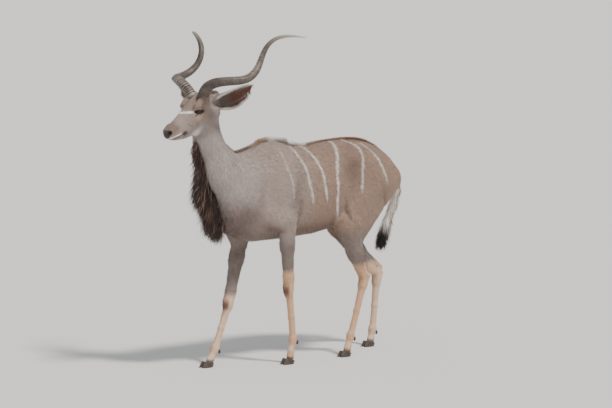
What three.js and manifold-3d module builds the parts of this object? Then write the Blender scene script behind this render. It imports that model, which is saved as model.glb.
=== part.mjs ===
// A greater kudu bull, life size, walking with its head turned a little to its left.
// Lengths are in millimetres. Anatomy is written in the body's own directions, as
// [forward, left, up] from the point on the floor under the middle of the trunk, and
// turned at the end so that the animal faces -X with its left side toward -Y.

import * as THREE from "three";
import openSolids from "manifold-3d";

const solids = await openSolids();
solids.setup();

// ---- Driving dimensions ----

const WITHERS_HEIGHT = 1400;
const SCALE = WITHERS_HEIGHT / 1400;
const PARTING = 0.4; // width of the cut between neighbouring parts
const ROOT_CLEARANCE = 1.2; // room between flesh and what grows out of it
const SOCKET_CLEARANCE = 0.6;

const TRUNK_STATIONS = [
  // forward, top, bottom, half width
  [-700, 1190, 1000, 85],
  [-640, 1255, 990, 135],
  [-550, 1322, 970, 165],
  [-420, 1366, 900, 195],
  [-270, 1378, 850, 212],
  [-120, 1370, 805, 225],
  [20, 1352, 785, 228],
  [160, 1358, 778, 218],
  [300, 1392, 772, 190],
  [420, 1368, 772, 165],
  [530, 1318, 790, 145],
  [620, 1250, 835, 120],
];
const TRUNK_END = { rear: 75, front: 100 };

const NECK = {
  base: [490, 0, 1085],
  shoulder: [676, 0, 1215],
  middle: [780, 0, 1400],
  top: [796, 0, 1590],
  baseRadius: 222,
  shoulderRadius: 136,
  middleRadius: 88,
  topRadius: 82,
};

const HEAD_TURN = THREE.MathUtils.degToRad(6); // toward its left
const HEAD_NOD = THREE.MathUtils.degToRad(31); // below level
const POLL = [783, 3, 1700];
const HEAD_STATIONS = [
  // along the face from the poll, top, bottom, half width
  [-20, -8, -80, 48],
  [30, 32, -128, 60],
  [80, 52, -150, 68],
  [130, 50, -158, 72],
  [180, 42, -158, 66],
  [230, 33, -148, 57],
  [280, 26, -132, 50],
  [330, 20, -112, 46],
  [370, 15, -88, 44],
  [392, 7, -70, 41],
];
const HEAD_END = { rear: 50, front: 32 };

const EYE = { along: 158, out: 56, up: -19, radius: 19 };

const HORN = {
  foot: { along: 74, out: 48, up: 48 },
  axisTurn: 2.558, // radians round from straight ahead, toward its own side
  axisRise: 0.74,
  length: 690,
  lengthBow: -0.056,
  coilSizes: [-70, -122, -523], // size of the coil along the horn, as a quadratic
  coilAtTip: 132,
  coilTurns: [-2.494, 9.899, -3.164], // radians of the coil along the horn, as a quadratic
  start: [8, 66, -36],
  footRadius: 34,
  tipRadius: 3,
  keelHeight: 7,
};

const EAR = { along: 36, out: 58, up: -40, length: 270, root: 28, width: 66, sag: 26, thickness: 5 };
const EAR_AIM = { left: [-0.66, 0.6, 0.4], right: [-0.1, -0.95, 0.28] };
const EAR_OPENING = { left: [0.55, 0.75, -0.35], right: [0.8, -0.25, -0.35] };

const LEGS = {
  left_fore: {
    side: 1,
    top: [528, 125, 1020],
    elbow: [275, 155, 885],
    knee: [243, 122, 475],
    fetlock: [202, 112, 150],
    toe: [228, 112, 20],
  },
  right_fore: {
    side: -1,
    top: [570, -125, 1000],
    elbow: [398, -150, 790],
    knee: [528, -122, 385],
    fetlock: [645, -112, 108],
    toe: [692, -112, 20],
  },
  left_hind: {
    side: 1,
    top: [-500, 115, 1130],
    elbow: [-205, 155, 835],
    knee: [-378, 122, 485],
    fetlock: [-272, 112, 125],
    toe: [-240, 112, 20],
  },
  right_hind: {
    side: -1,
    top: [-520, -115, 1130],
    elbow: [-400, -155, 800],
    knee: [-702, -122, 455],
    fetlock: [-655, -112, 105],
    toe: [-636, -112, 20],
  },
};

const HOOF = { length: 84, width: 29, cleft: 2, heelHeight: 24, toeHeight: 46, reach: 18 };
const DEWCLAW = { radius: 9, length: 15, back: 25, out: 14, below: 16 };

const TAIL_PATH = [
  [-700, 0, 1190],
  [-765, -6, 1130],
  [-786, -22, 1040],
  [-776, -45, 940],
  [-752, -70, 850],
  [-732, -88, 770],
];
const TAIL = { rootWidth: 30, tipWidth: 22, depth: 15 };
const TUFT_PATH = [
  [-731, -89, 764],
  [-724, -96, 715],
  [-718, -104, 665],
  [-716, -108, 625],
];
const TUFT = { width: 25, depth: 20 };

// Sizes of the faces that each surface is laid out in, as [forward, left, up].
const CELL = {
  trunk: [80, 64, 70],
  neck: [46, 42, 48],
  head: [29, 26, 28],
  foreleg: [33, 29, 48],
  hindLeg: [40, 35, 50],
  shank: [18, 18, 50],
};

const CREST = { from: 748, to: -560, stations: 17, low: 11, high: 24, thickness: 11 };
const FRINGE = { stations: 12, hang: 62, thickness: 19 };

// ---- Vector helpers on [forward, left, up] ----

const add = (a, b) => [a[0] + b[0], a[1] + b[1], a[2] + b[2]];
const sub = (a, b) => [a[0] - b[0], a[1] - b[1], a[2] - b[2]];
const times = (a, k) => [a[0] * k, a[1] * k, a[2] * k];
const dot = (a, b) => a[0] * b[0] + a[1] * b[1] + a[2] * b[2];
const cross = (a, b) => [
  a[1] * b[2] - a[2] * b[1],
  a[2] * b[0] - a[0] * b[2],
  a[0] * b[1] - a[1] * b[0],
];
const unit = (a) => times(a, 1 / Math.hypot(...a));
const between = (a, b, t) => add(a, times(sub(b, a), t));
const clamp = THREE.MathUtils.clamp;

const faceward = [
  Math.cos(HEAD_TURN) * Math.cos(HEAD_NOD),
  Math.sin(HEAD_TURN) * Math.cos(HEAD_NOD),
  -Math.sin(HEAD_NOD),
];
const headLevel = [Math.cos(HEAD_TURN), Math.sin(HEAD_TURN), 0];
const headLeft = [-Math.sin(HEAD_TURN), Math.cos(HEAD_TURN), 0];
const crownward = cross(faceward, headLeft);

/** A place on the head, along the face from the poll, out to its left and up. */
function onHead(along, out, up) {
  return add(POLL, add(times(faceward, along), add(times(headLeft, out), times(crownward, up))));
}

// ---- Soft forms, each a signed distance ----

/** A smooth curve through [position, value] rows, level where the values turn. */
function smoothTable(positions, values) {
  const slopes = positions.slice(1).map((x, i) => (values[i + 1] - values[i]) / (x - positions[i]));
  const tangents = positions.map((_, i) => {
    if (i === 0) return slopes[0];
    if (i === slopes.length) return slopes[i - 1];
    const product = slopes[i - 1] * slopes[i];
    return product <= 0 ? 0 : (2 * product) / (slopes[i - 1] + slopes[i]);
  });
  return (x) => {
    const last = positions.length - 1;
    if (x <= positions[0]) return values[0];
    if (x >= positions[last]) return values[last];
    let i = 0;
    while (x > positions[i + 1]) i += 1;
    const span = positions[i + 1] - positions[i];
    const t = (x - positions[i]) / span;
    const u = 1 - t;
    return (
      (1 + 2 * t) * u * u * values[i] +
      t * u * u * span * tangents[i] +
      t * t * (3 - 2 * t) * values[i + 1] -
      t * t * u * span * tangents[i + 1]
    );
  };
}

/** A body of oval sections along a straight axis. */
function sectioned(origin, axis, up, stations, end) {
  const column = (i) => stations.map((row) => row[i]);
  const along = column(0);
  const topAt = smoothTable(along, column(1));
  const bottomAt = smoothTable(along, column(2));
  const widthAt = smoothTable(along, column(3));
  const side = cross(up, axis);
  const first = along[0];
  const last = along[along.length - 1];
  return (point) => {
    const offset = sub(point, origin);
    const a = dot(offset, axis);
    const top = topAt(a);
    const bottom = bottomAt(a);
    const width = widthAt(a);
    const height = (top - bottom) / 2;
    const reach = a > last ? end.front : end.rear;
    const beyond = Math.max(a - last, first - a, 0);
    const x = dot(offset, side) / width;
    const y = (dot(offset, up) - (top + bottom) / 2) / height;
    const z = beyond / reach;
    const radial = Math.hypot(x, y, z) + 1e-9;
    return (radial * (radial - 1)) / (Math.hypot(x / width, y / height, z / reach) + 1e-9);
  };
}

/** A rounded bar that tapers from one end to the other, pressed flat from side to side. */
function bar(start, startRadius, end, endRadius, flat = 1) {
  const squeeze = (v) => [v[0], v[1] / flat, v[2]];
  const line = squeeze(sub(end, start));
  const square = dot(line, line);
  return (point) => {
    const offset = squeeze(sub(point, start));
    const t = clamp(dot(offset, line) / square, 0, 1);
    const radius = startRadius + (endRadius - startRadius) * t;
    return (Math.hypot(...sub(offset, times(line, t))) - radius) * flat;
  };
}

/** The union of two forms, with a fillet of the given width. */
function blend(a, b, width) {
  const h = Math.max(width - Math.abs(a - b), 0) / width;
  return Math.min(a, b) - (h * h * width) / 4;
}

// ---- Flesh ----

const flesh = []; // each row is a form and the width of its fillet

function grow(start, startRadius, end, endRadius, flat = 1) {
  const fillet = clamp(0.55 * Math.min(startRadius, endRadius) + 4, 12, 70);
  flesh.push([bar(start, startRadius, end, endRadius, flat), fillet]);
}

function growNeck() {
  const n = NECK;
  flesh.push([bar(n.base, n.baseRadius, n.shoulder, n.shoulderRadius, 0.74), 100]);
  flesh.push([bar(n.shoulder, n.shoulderRadius, n.middle, n.middleRadius, 0.88), 50]);
  flesh.push([bar(n.middle, n.middleRadius, n.top, n.topRadius, 0.92), 50]);
}

function growHead() {
  flesh.push([sectioned(POLL, faceward, crownward, HEAD_STATIONS, HEAD_END), 45]);
  for (const side of [1, -1]) {
    const at = (along, out, up) => onHead(along, side * out, up);
    grow(at(114, 64, 28), 24, at(164, 60, 19), 20); // brow
    grow(at(148, 50, -46), 22, at(200, 42, -60), 23); // cheek
    grow(at(50, 40, -98), 43, at(110, 34, -104), 43); // jaw
    grow(at(352, 25, -8), 21, at(388, 24, -12), 19); // nostril
    grow(at(75, 45, 12), 36, at(72, 49, 32), 35); // foot of the horn
  }
  grow(onHead(368, 0, -40), 30, onHead(394, 0, -34), 25); // upper lip
  grow(onHead(300, 0, -88), 30, onHead(368, 0, -70), 20); // lower lip
}

function growShank(leg, sizes) {
  const { knee, fetlock, toe } = leg;
  const down = (t) => between(knee, fetlock, t);
  grow(down(0.08), sizes.cannonTop, down(0.55), 19);
  grow(down(0.55), 19, down(0.95), 21.5);
  grow(add(down(0.14), [-sizes.tendon, 0, 0]), 15.5, add(down(0.92), [-11, 0, 0]), 15);
  grow(add(fetlock, [-2, 0, 6]), 26.5, add(fetlock, [0, 0, -6]), 25.5);
  grow(fetlock, 22.5, between(fetlock, toe, 0.62), 20.5);
  grow(between(fetlock, toe, 0.55), 21, between(fetlock, toe, 0.82), 26);
}

function growForeleg(leg) {
  const { side, top, elbow, knee } = leg;
  const down = (t) => between(elbow, knee, t);
  grow([340, side * 85, 1270], 75, [top[0] - 20, top[1] * 0.88, top[2] + 30], 80, 0.8); // shoulder blade
  grow([400, side * 90, 1160], 85, add(elbow, [30, -side * 10, 50]), 72, 0.75); // back of the upper arm
  grow([top[0], top[1] * 0.8, top[2]], 85, add(elbow, [50, -side * 8, 20]), 65, 0.9);
  grow(add(elbow, [0, 0, 30]), 68, add(down(0.35), [8, 0, 0]), 50, 0.85);
  grow(add(down(0.3), [8, 0, 0]), 51, down(0.85), 35, 0.9);
  grow(down(0.82), 34, down(1.02), 33);
  grow(add(knee, [6, 0, 12]), 32, add(knee, [4, 0, -30]), 27);
  growShank(leg, { cannonTop: 25, tendon: 11 });
}

function growHindLeg(leg) {
  const { side, top, elbow: stifle, knee: hock } = leg;
  const down = (t) => between(stifle, hock, t);
  const point = add(hock, [-34, 0, 18]);
  grow(add(top, [20, -side * 10, 20]), 125, add(stifle, [-60, -side * 20, 30]), 98, 0.85); // thigh
  grow(add(top, [-120, -side * 25, -20]), 85, add(down(0.25), [-60, -side * 10, 30]), 62, 0.85);
  grow([-280, side * 130, 1260], 90, top, 115, 0.8); // haunch
  grow(add(top, [120, 0, -50]), 90, add(stifle, [10, 0, 20]), 74, 0.8);
  grow(stifle, 76, down(0.5), 58, 0.88);
  grow(down(0.45), 58, down(0.85), 37, 0.88);
  grow(add(down(0.45), [-30, 0, 0]), 28, add(point, [0, 0, 35]), 16); // tendon above the heel
  grow(point, 19, between(hock, leg.fetlock, 0.12), 27);
  grow(add(hock, [4, 0, 20]), 35, between(hock, leg.fetlock, 0.1), 28);
  growShank(leg, { cannonTop: 26.5, tendon: 12.5 });
}

growNeck();
growHead();
grow([365, 0, 1345], 46, [215, 0, 1350], 38); // withers
for (const leg of [LEGS.left_fore, LEGS.right_fore]) growForeleg(leg);
for (const leg of [LEGS.left_hind, LEGS.right_hind]) growHindLeg(leg);

const trunkForm = sectioned([0, 0, 0], [1, 0, 0], [0, 0, 1], TRUNK_STATIONS, TRUNK_END);

/** Signed distance to the whole animal's outline, without its horns, ears and long hair. */
function body(point) {
  let distance = trunkForm(point);
  for (const [form, fillet] of flesh) distance = blend(distance, form(point), fillet);
  return distance;
}

/** The outward direction of the body's surface near a point. */
function outward(point) {
  const step = 1;
  const change = [0, 1, 2].map((axis) => {
    const ahead = [...point];
    const behind = [...point];
    ahead[axis] += step;
    behind[axis] -= step;
    return body(ahead) - body(behind);
  });
  return unit(change);
}

/** Moves a point along a direction until it lies on the body's surface. */
function landOn(point, direction) {
  let place = point;
  for (let i = 0; i < 60; i += 1) {
    const distance = body(place);
    if (Math.abs(distance) < 0.05) break;
    place = add(place, times(direction, distance * 0.8));
  }
  return place;
}

// ---- Solids ----

/** A solid from corner points in body directions and triangles of their numbers. */
function solid(points, triangles) {
  const vertProperties = new Float32Array(points.flatMap(([f, l, u]) => [-f * SCALE, -l * SCALE, u * SCALE]));
  const triVerts = new Uint32Array(triangles.flat());
  return new solids.Manifold(new solids.Mesh({ numProp: 3, vertProperties, triVerts }));
}

// Edges and faces of a cell whose corners are numbered 4 * forward + 2 * left + up.
const CELL_EDGES = [0, 1, 2, 3, 4, 5, 6, 7].flatMap((a) => [1, 2, 4].filter((bit) => !(a & bit)).map((bit) => [a, a + bit]));
const CELL_FACES = [1, 2, 4].flatMap((bit) => [0, bit].map((side) => [0, 1, 2, 3, 4, 5, 6, 7].filter((c) => (c & bit) === side)));

/** The groups of crossed edges of a cell, one group for each sheet of surface in it. */
function sheetsThrough(value) {
  const crossed = CELL_EDGES.map(([a, b]) => value[a] < 0 !== value[b] < 0);
  const group = CELL_EDGES.map((_, edge) => edge);
  const join = (a, b) => {
    const [from, to] = [group[a], group[b]];
    group.forEach((g, edge) => {
      if (g === from) group[edge] = to;
    });
  };
  for (const face of CELL_FACES) {
    const rim = CELL_EDGES.map((_, edge) => edge).filter(
      (edge) => crossed[edge] && CELL_EDGES[edge].every((corner) => face.includes(corner)),
    );
    if (rim.length === 2) join(rim[0], rim[1]);
    if (rim.length !== 4) continue;
    for (const corner of face.filter((c) => value[c] < 0)) {
      const [first, second] = rim.filter((edge) => CELL_EDGES[edge].includes(corner));
      join(first, second);
    }
  }
  const names = [...new Set(group.filter((_, edge) => crossed[edge]))];
  return names.map((name) => group.flatMap((g, edge) => (g === name && crossed[edge] ? [edge] : [])));
}

/** The body's surface over a box of cells, moved outward by `swell`. */
function skinOver(low, high, cell, swell = 0) {
  const counts = low.map((v, i) => Math.ceil((high[i] - v) / cell[i]) + 1);
  const at = (i, j, k) => [low[0] + i * cell[0], low[1] + j * cell[1], low[2] + k * cell[2]];
  const number = (i, j, k) => (i * counts[1] + j) * counts[2] + k;
  const values = new Float64Array(counts[0] * counts[1] * counts[2]);
  for (let i = 0; i < counts[0]; i += 1) {
    for (let j = 0; j < counts[1]; j += 1) {
      for (let k = 0; k < counts[2]; k += 1) {
        const edge = [i, j, k].some((v, axis) => v === 0 || v === counts[axis] - 1);
        const value = body(at(i, j, k));
        values[number(i, j, k)] = edge ? Math.max(value, 1) : value;
      }
    }
  }
  const corners = [0, 1, 2, 3, 4, 5, 6, 7].map((c) => [c >> 2, (c >> 1) & 1, c & 1]);
  const points = [];
  const pointOf = new Map(); // the surface point in a cell that a crossed edge of it belongs to
  for (let i = 0; i < counts[0] - 1; i += 1) {
    for (let j = 0; j < counts[1] - 1; j += 1) {
      for (let k = 0; k < counts[2] - 1; k += 1) {
        const value = corners.map(([a, b, c]) => values[number(i + a, j + b, k + c)]);
        const inside = value.filter((v) => v < 0).length;
        if (inside === 0 || inside === 8) continue;
        for (const sheet of sheetsThrough(value)) {
          let sum = [0, 0, 0];
          for (const edge of sheet) {
            const [a, b] = CELL_EDGES[edge];
            const t = value[a] / (value[a] - value[b]);
            const from = at(i + corners[a][0], j + corners[a][1], k + corners[a][2]);
            const to = at(i + corners[b][0], j + corners[b][1], k + corners[b][2]);
            sum = add(sum, between(from, to, t));
            pointOf.set(number(i, j, k) * 12 + edge, points.length);
          }
          points.push(times(sum, 1 / sheet.length));
        }
      }
    }
  }
  const settled = points.map((point) => {
    const onBox = point.some((v, axis) => v < low[axis] + cell[axis] || v > low[axis] + (counts[axis] - 2) * cell[axis]);
    if (onBox) return point;
    let place = point;
    for (let round = 0; round < 2; round += 1) {
      const push = clamp(body(place), -0.3 * cell[0], 0.3 * cell[0]);
      place = sub(place, times(outward(place), push));
    }
    return add(place, times(outward(place), swell));
  });
  const triangles = [];
  for (let i = 0; i < counts[0] - 1; i += 1) {
    for (let j = 0; j < counts[1] - 1; j += 1) {
      for (let k = 0; k < counts[2] - 1; k += 1) {
        const here = values[number(i, j, k)] < 0;
        const ring = {
          0: [[0, -1, -1], [0, 0, -1], [0, 0, 0], [0, -1, 0]],
          1: [[-1, 0, -1], [-1, 0, 0], [0, 0, 0], [0, 0, -1]],
          2: [[-1, -1, 0], [0, -1, 0], [0, 0, 0], [-1, 0, 0]],
        };
        for (const axis of [0, 1, 2]) {
          const next = [i, j, k];
          next[axis] += 1;
          const there = values[number(...next)] < 0;
          if (here === there || [i, j, k].some((v, other) => v === 0 && other !== axis)) continue;
          const quad = ring[axis].map(([a, b, c]) => {
            const start = -4 * a - 2 * b - c;
            const edge = CELL_EDGES.findIndex(([p, q]) => p === start && q === start + [4, 2, 1][axis]);
            return pointOf.get(number(i + a, j + b, k + c) * 12 + edge);
          });
          if (!here) quad.reverse();
          const apart = (p, q) => Math.hypot(...sub(settled[quad[p]], settled[quad[q]]));
          if (apart(0, 2) < apart(1, 3)) triangles.push([quad[0], quad[1], quad[2]], [quad[0], quad[2], quad[3]]);
          else triangles.push([quad[1], quad[2], quad[3]], [quad[1], quad[3], quad[0]]);
        }
      }
    }
  }
  return solid(settled, triangles);
}

/** A solid through closed rings of equal length, with flat ends. */
function lofted(rings) {
  const n = rings[0].length;
  const points = rings.flat();
  const triangles = [];
  for (let r = 0; r + 1 < rings.length; r += 1) {
    for (let i = 0; i < n; i += 1) {
      const a = r * n + i;
      const b = r * n + ((i + 1) % n);
      triangles.push([a, b, b + n], [a, b + n, a + n]);
    }
  }
  const last = (rings.length - 1) * n;
  for (let i = 1; i + 1 < n; i += 1) {
    triangles.push([0, i + 1, i], [last, last + i, last + i + 1]);
  }
  const made = solid(points, triangles);
  return made.volume() < 0 ? solid(points, triangles.map(([a, b, c]) => [a, c, b])) : made;
}

/** The part of a solid on the side of a plane that `direction` points to. */
function keepBeyond(shape, point, direction, gap = PARTING / 2) {
  const normal = unit([-direction[0], -direction[1], direction[2]]);
  const place = [-point[0] * SCALE, -point[1] * SCALE, point[2] * SCALE];
  return shape.trimByPlane(normal, dot(normal, place) + gap);
}

function keepAll(shape, planes, gap = PARTING / 2) {
  return planes.reduce((rest, [point, direction]) => keepBeyond(rest, point, direction, gap), shape);
}

/** The largest piece of what a cut leaves. */
function largest(shape) {
  return shape.decompose().sort((a, b) => b.volume() - a.volume())[0];
}

/** A block that fills a region, grown so that what is left of it stays clear. */
function blockOf(planes) {
  const geometry = new THREE.BoxGeometry(6000, 6000, 6000);
  const position = geometry.getAttribute("position");
  const seen = new Map();
  const points = [];
  const remap = [];
  for (let i = 0; i < position.count; i += 1) {
    const place = [position.getX(i), position.getY(i), position.getZ(i)];
    const key = place.join();
    if (!seen.has(key)) {
      seen.set(key, points.length);
      points.push([-place[0], -place[1], place[2]]);
    }
    remap.push(seen.get(key));
  }
  const index = [...geometry.getIndex().array].map((i) => remap[i]);
  const triangles = [];
  for (let i = 0; i < index.length; i += 3) triangles.push(index.slice(i, i + 3));
  return keepAll(solid(points, triangles), planes, -PARTING / 2);
}

// ---- Where one part ends and the next begins ----

const LEFT = [0, 1, 0];
const RIGHT = [0, -1, 0];
const neckCut = [[569, 0, 1351], [0.912, 0, 0.41]];
const headRegion = [
  [[725, 0, 1660], [0.97, 0, 0.24]],
  [[720, 0, 1515], [0.407, 0, 0.913]],
];
const legRegion = {
  left_fore: [[[260, 100, 820], [0, 0.5, -0.866]], [[0, 20, 0], LEFT], [[50, 0, 0], [1, 0, 0]]],
  right_fore: [[[400, -100, 705], [0, -0.5, -0.866]], [[0, -20, 0], RIGHT], [[50, 0, 0], [1, 0, 0]]],
  left_hind: [[[-250, 60, 800], [0, 0.6, -0.8]], [[0, 0, 0], LEFT], [[-20, 0, 0], [-1, 0, 0]]],
  right_hind: [[[-450, -60, 790], [0, -0.6, -0.8]], [[0, 0, 0], RIGHT], [[-20, 0, 0], [-1, 0, 0]]],
};
const TRUNK_BOX = [[-880, -330, 620], [880, 330, 1530]];
const NECK_BOX = [[470, -240, 690], [1010, 240, 1800]];
const HEAD_BOX = [[655, -160, 1370], [1230, 170, 1810]];
const LEG_BOX = {
  left_fore: { low: [110, 10, -50], high: [420, 270, 920] },
  right_fore: { low: [280, -270, -50], high: [760, -10, 840] },
  left_hind: { low: [-640, 0, -50], high: [-60, 270, 1010] },
  right_hind: { low: [-820, -270, -50], high: [-200, 0, 1010] },
};

function legCut(leg, t) {
  return [between(leg.elbow, leg.knee, t), unit(sub(leg.knee, leg.elbow))];
}

function coronet(leg) {
  const slope = (HOOF.toeHeight - HOOF.heelHeight) / HOOF.length;
  const centre = [leg.toe[0] + HOOF.reach, leg.toe[1], (HOOF.toeHeight + HOOF.heelHeight) / 2];
  return [centre, unit([-slope, 0, 1])];
}

const away = ([point, direction]) => [point, times(direction, -1)];

// ---- Parts ----

const parts = [];

function keep(name, shape, look) {
  parts.push({ name, shape: largest(shape), look });
}

const LOOKS = {
  trunkCoat: { color: 0x9a8474, roughness: 0.85 },
  neckCoat: { color: 0xa3958c, roughness: 0.85 },
  faceCoat: { color: 0x8d7768, roughness: 0.8 },
  upperLegCoat: { color: 0x8f7d70, roughness: 0.85 },
  lowerLegCoat: { color: 0xc29a72, roughness: 0.8 },
  hoofHorn: { color: 0x2b2623, roughness: 0.5 },
  horn: { color: 0x6f6259, roughness: 0.55 },
  earCoat: { color: 0x8b7465, roughness: 0.85 },
  eyeball: { color: 0x1c120c, roughness: 0.1 },
  paleHair: { color: 0xd9d2c6, roughness: 0.9 },
  darkHair: { color: 0x3a2a22, roughness: 0.9 },
};

function makeTorso() {
  const around = skinOver(...TRUNK_BOX, CELL.trunk);
  const behindNeck = keepAll(around, [away(neckCut)]);
  const regions = Object.values(legRegion).map(blockOf);
  keep("trunk", regions.reduce((rest, block) => rest.subtract(block), behindNeck), LOOKS.trunkCoat);
}

function makeNeckAndHead() {
  const neck = skinOver(...NECK_BOX, CELL.neck);
  const belowHead = keepAll(neck, [neckCut]).subtract(blockOf(headRegion));
  const inFront = keepAll(belowHead, [[[600, 0, 830], [0.6, 0, 0.8]]], 0);
  keep("neck", inFront, LOOKS.neckCoat);
  const head = skinOver(...HEAD_BOX, CELL.head);
  const skull = keepAll(head, headRegion);
  const sockets = [1, -1].map((side) => ball(eyeCentre(side), EYE.radius + SOCKET_CLEARANCE, 9, 6));
  keep("head", sockets.reduce((rest, socket) => rest.subtract(socket), skull), LOOKS.faceCoat);
}

function makeLegs() {
  for (const [name, leg] of Object.entries(LEGS)) {
    const { low, high } = LEG_BOX[name];
    const upperCell = name.endsWith("hind") ? CELL.hindLeg : CELL.foreleg;
    const cut = legCut(leg, name.endsWith("hind") ? 0.8 : 0.86);
    const limb = skinOver(low, high, upperCell);
    keep(`${name}_upper_leg`, keepAll(limb, [...legRegion[name], away(cut)]), LOOKS.upperLegCoat);
    const shankHigh = [high[0], high[1], leg.knee[2] + 130];
    const shank = skinOver(low, shankHigh, CELL.shank);
    keep(`${name}_lower_leg`, keepAll(shank, [cut, coronet(leg)]), LOOKS.lowerLegCoat);
  }
}

function ball(centre, radius, segments, rows, stretch = [1, 1, 1]) {
  const rings = [];
  for (let r = 0; r <= rows; r += 1) {
    const lift = Math.PI * clamp(r / rows, 0.03, 0.97);
    const ring = [];
    for (let s = 0; s < segments; s += 1) {
      const turn = (2 * Math.PI * s) / segments;
      ring.push([
        centre[0] + radius * stretch[0] * Math.sin(lift) * Math.cos(turn),
        centre[1] + radius * stretch[1] * Math.sin(lift) * Math.sin(turn),
        centre[2] - radius * stretch[2] * Math.cos(lift),
      ]);
    }
    rings.push(ring);
  }
  return lofted(rings);
}

function eyeCentre(side) {
  return onHead(EYE.along, side * EYE.out, EYE.up);
}

function makeEyes() {
  keep("left_eye", ball(eyeCentre(1), EYE.radius, 9, 6), LOOKS.eyeball);
  keep("right_eye", ball(eyeCentre(-1), EYE.radius, 9, 6), LOOKS.eyeball);
}

/** The middle of a horn at t from its foot (0) to its tip (1). */
function hornPlace(t, side) {
  const h = HORN;
  const axis = [
    Math.cos(h.axisRise) * Math.cos(h.axisTurn),
    Math.cos(h.axisRise) * Math.sin(h.axisTurn),
    Math.sin(h.axisRise),
  ];
  const across = unit(cross([0, 0, 1], axis));
  const upright = cross(axis, across);
  const quadratic = ([a, b, c]) => a + b * t + c * t * t;
  const coil = (1 - t) * quadratic(h.coilSizes) + t * h.coilAtTip;
  const turn = quadratic(h.coilTurns);
  const along = h.length * (t + h.lengthBow * t * (1 - t));
  const local = [0, 1, 2].map(
    (i) => h.start[i] + along * axis[i] + coil * (Math.cos(turn) * across[i] + Math.sin(turn) * upright[i]),
  );
  const foot = onHead(h.foot.along, side * h.foot.out, h.foot.up);
  return add(foot, add(times(headLevel, local[0]), add(times(headLeft, side * local[1]), [0, 0, local[2]])));
}

function hornRadius(t) {
  return (HORN.footRadius - HORN.tipRadius) * Math.pow(1 - t, 0.45) * (1 - 0.25 * t) + HORN.tipRadius * (1 - 0.6 * t);
}

function makeHorn(side, name, headShape) {
  const rows = 30;
  const ringSize = 7;
  const rings = [];
  let reference = headLeft;
  for (let r = -2; r <= rows; r += 1) {
    const t = r / rows;
    const here = hornPlace(Math.max(t, 0), side);
    const ahead = unit(sub(hornPlace(Math.max(t, 0) + 0.004, side), hornPlace(Math.max(t, 0) - 0.004, side)));
    reference = unit(sub(reference, times(ahead, dot(reference, ahead))));
    const other = cross(ahead, reference);
    const centre = t < 0 ? add(here, times(ahead, t * 700)) : here;
    const keelTurn = side * (0.6 + 4.6 * Math.max(t, 0));
    const radius = hornRadius(Math.max(t, 0));
    const ring = [];
    for (let s = 0; s < ringSize; s += 1) {
      const turn = (2 * Math.PI * s) / ringSize + keelTurn;
      const keel = s === 0 ? HORN.keelHeight * Math.pow(1 - Math.max(t, 0), 0.7) : 0;
      const out = radius + keel - 1.5;
      ring.push(add(centre, add(times(reference, out * Math.cos(turn)), times(other, out * Math.sin(turn)))));
    }
    rings.push(ring);
  }
  keep(name, lofted(rings).subtract(headShape), LOOKS.horn);
}

/** A leaf rolled into a tube at its foot, opening toward its tip. */
function makeEar(side, name, headShape) {
  const key = side > 0 ? "left" : "right";
  const aim = unit(EAR_AIM[key]);
  const opening = unit(sub(EAR_OPENING[key], times(aim, dot(EAR_OPENING[key], aim))));
  const across = cross(opening, aim);
  const foot = onHead(EAR.along, side * EAR.out, EAR.up);
  const rows = 9;
  const columns = 6;
  const rings = [];
  for (let r = 0; r <= rows; r += 1) {
    const t = r / rows;
    const reach = t * (EAR.length + EAR.root) - EAR.root;
    const sag = -side * EAR.sag * Math.sin(Math.PI * t ** 1.15);
    const width = EAR.width * (0.36 + 0.64 * Math.sin(Math.PI * Math.min(0.5, t * 0.8))) * Math.pow(1 - Math.pow(t, 3.2), 0.8) + 2;
    const curl = 2.35 - 1.5 * Math.min(1, t * 1.35);
    const radius = width / Math.sin(Math.min(curl, Math.PI / 2));
    const line = add(foot, add(times(aim, reach), times(across, sag)));
    const centre = add(line, times(opening, radius * Math.cos(curl) * 0.6 + radius * 0.2));
    const wall = EAR.thickness * (1.5 - 0.7 * t) * (t > 0.97 ? 0.5 : 1);
    const at = (turn, size) =>
      add(centre, add(times(across, size * Math.sin(turn)), times(opening, -size * Math.cos(turn))));
    const ring = [];
    for (let c = 0; c <= columns; c += 1) ring.push(at(curl * ((2 * c) / columns - 1), radius));
    for (let c = columns; c >= 0; c -= 1) ring.push(at(curl * 0.97 * ((2 * c) / columns - 1), Math.max(radius - wall, radius * 0.4)));
    rings.push(ring);
  }
  keep(name, lofted(rings).subtract(headShape), LOOKS.earCoat);
}

function makeHooves() {
  for (const [name, leg] of Object.entries(LEGS)) {
    const [centre, upward] = coronet(leg);
    for (const [word, inward] of [["outer", -1], ["inner", 1]]) {
      const out = -inward * leg.side;
      const levels = [0, 0.12, 1.3];
      const rings = levels.map((level) => {
        const ring = [];
        const shrink = 1 - 0.16 * level;
        const steps = 12;
        for (let s = 0; s < steps; s += 1) {
          const turn = (2 * Math.PI * s) / steps;
          const ahead = Math.cos(turn);
          const aside = Math.sin(turn);
          const forward = ahead * (ahead > 0 ? 0.56 : 0.44) * HOOF.length * shrink;
          const narrow = 1 - 0.4 * Math.max(0, ahead) ** 2;
          const width = (aside * out > 0 ? 1 : 0.86) * aside * (HOOF.width / 2) * shrink * narrow;
          const shift = HOOF.cleft / 2 + HOOF.width / 2;
          ring.push([
            centre[0] + forward - 16 * level,
            centre[1] + out * shift + width,
            level * HOOF.toeHeight,
          ]);
        }
        return ring;
      });
      keep(`${name}_${word}_hoof`, keepAll(lofted(rings), [away([centre, upward])]), LOOKS.hoofHorn);
    }
  }
}

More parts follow.
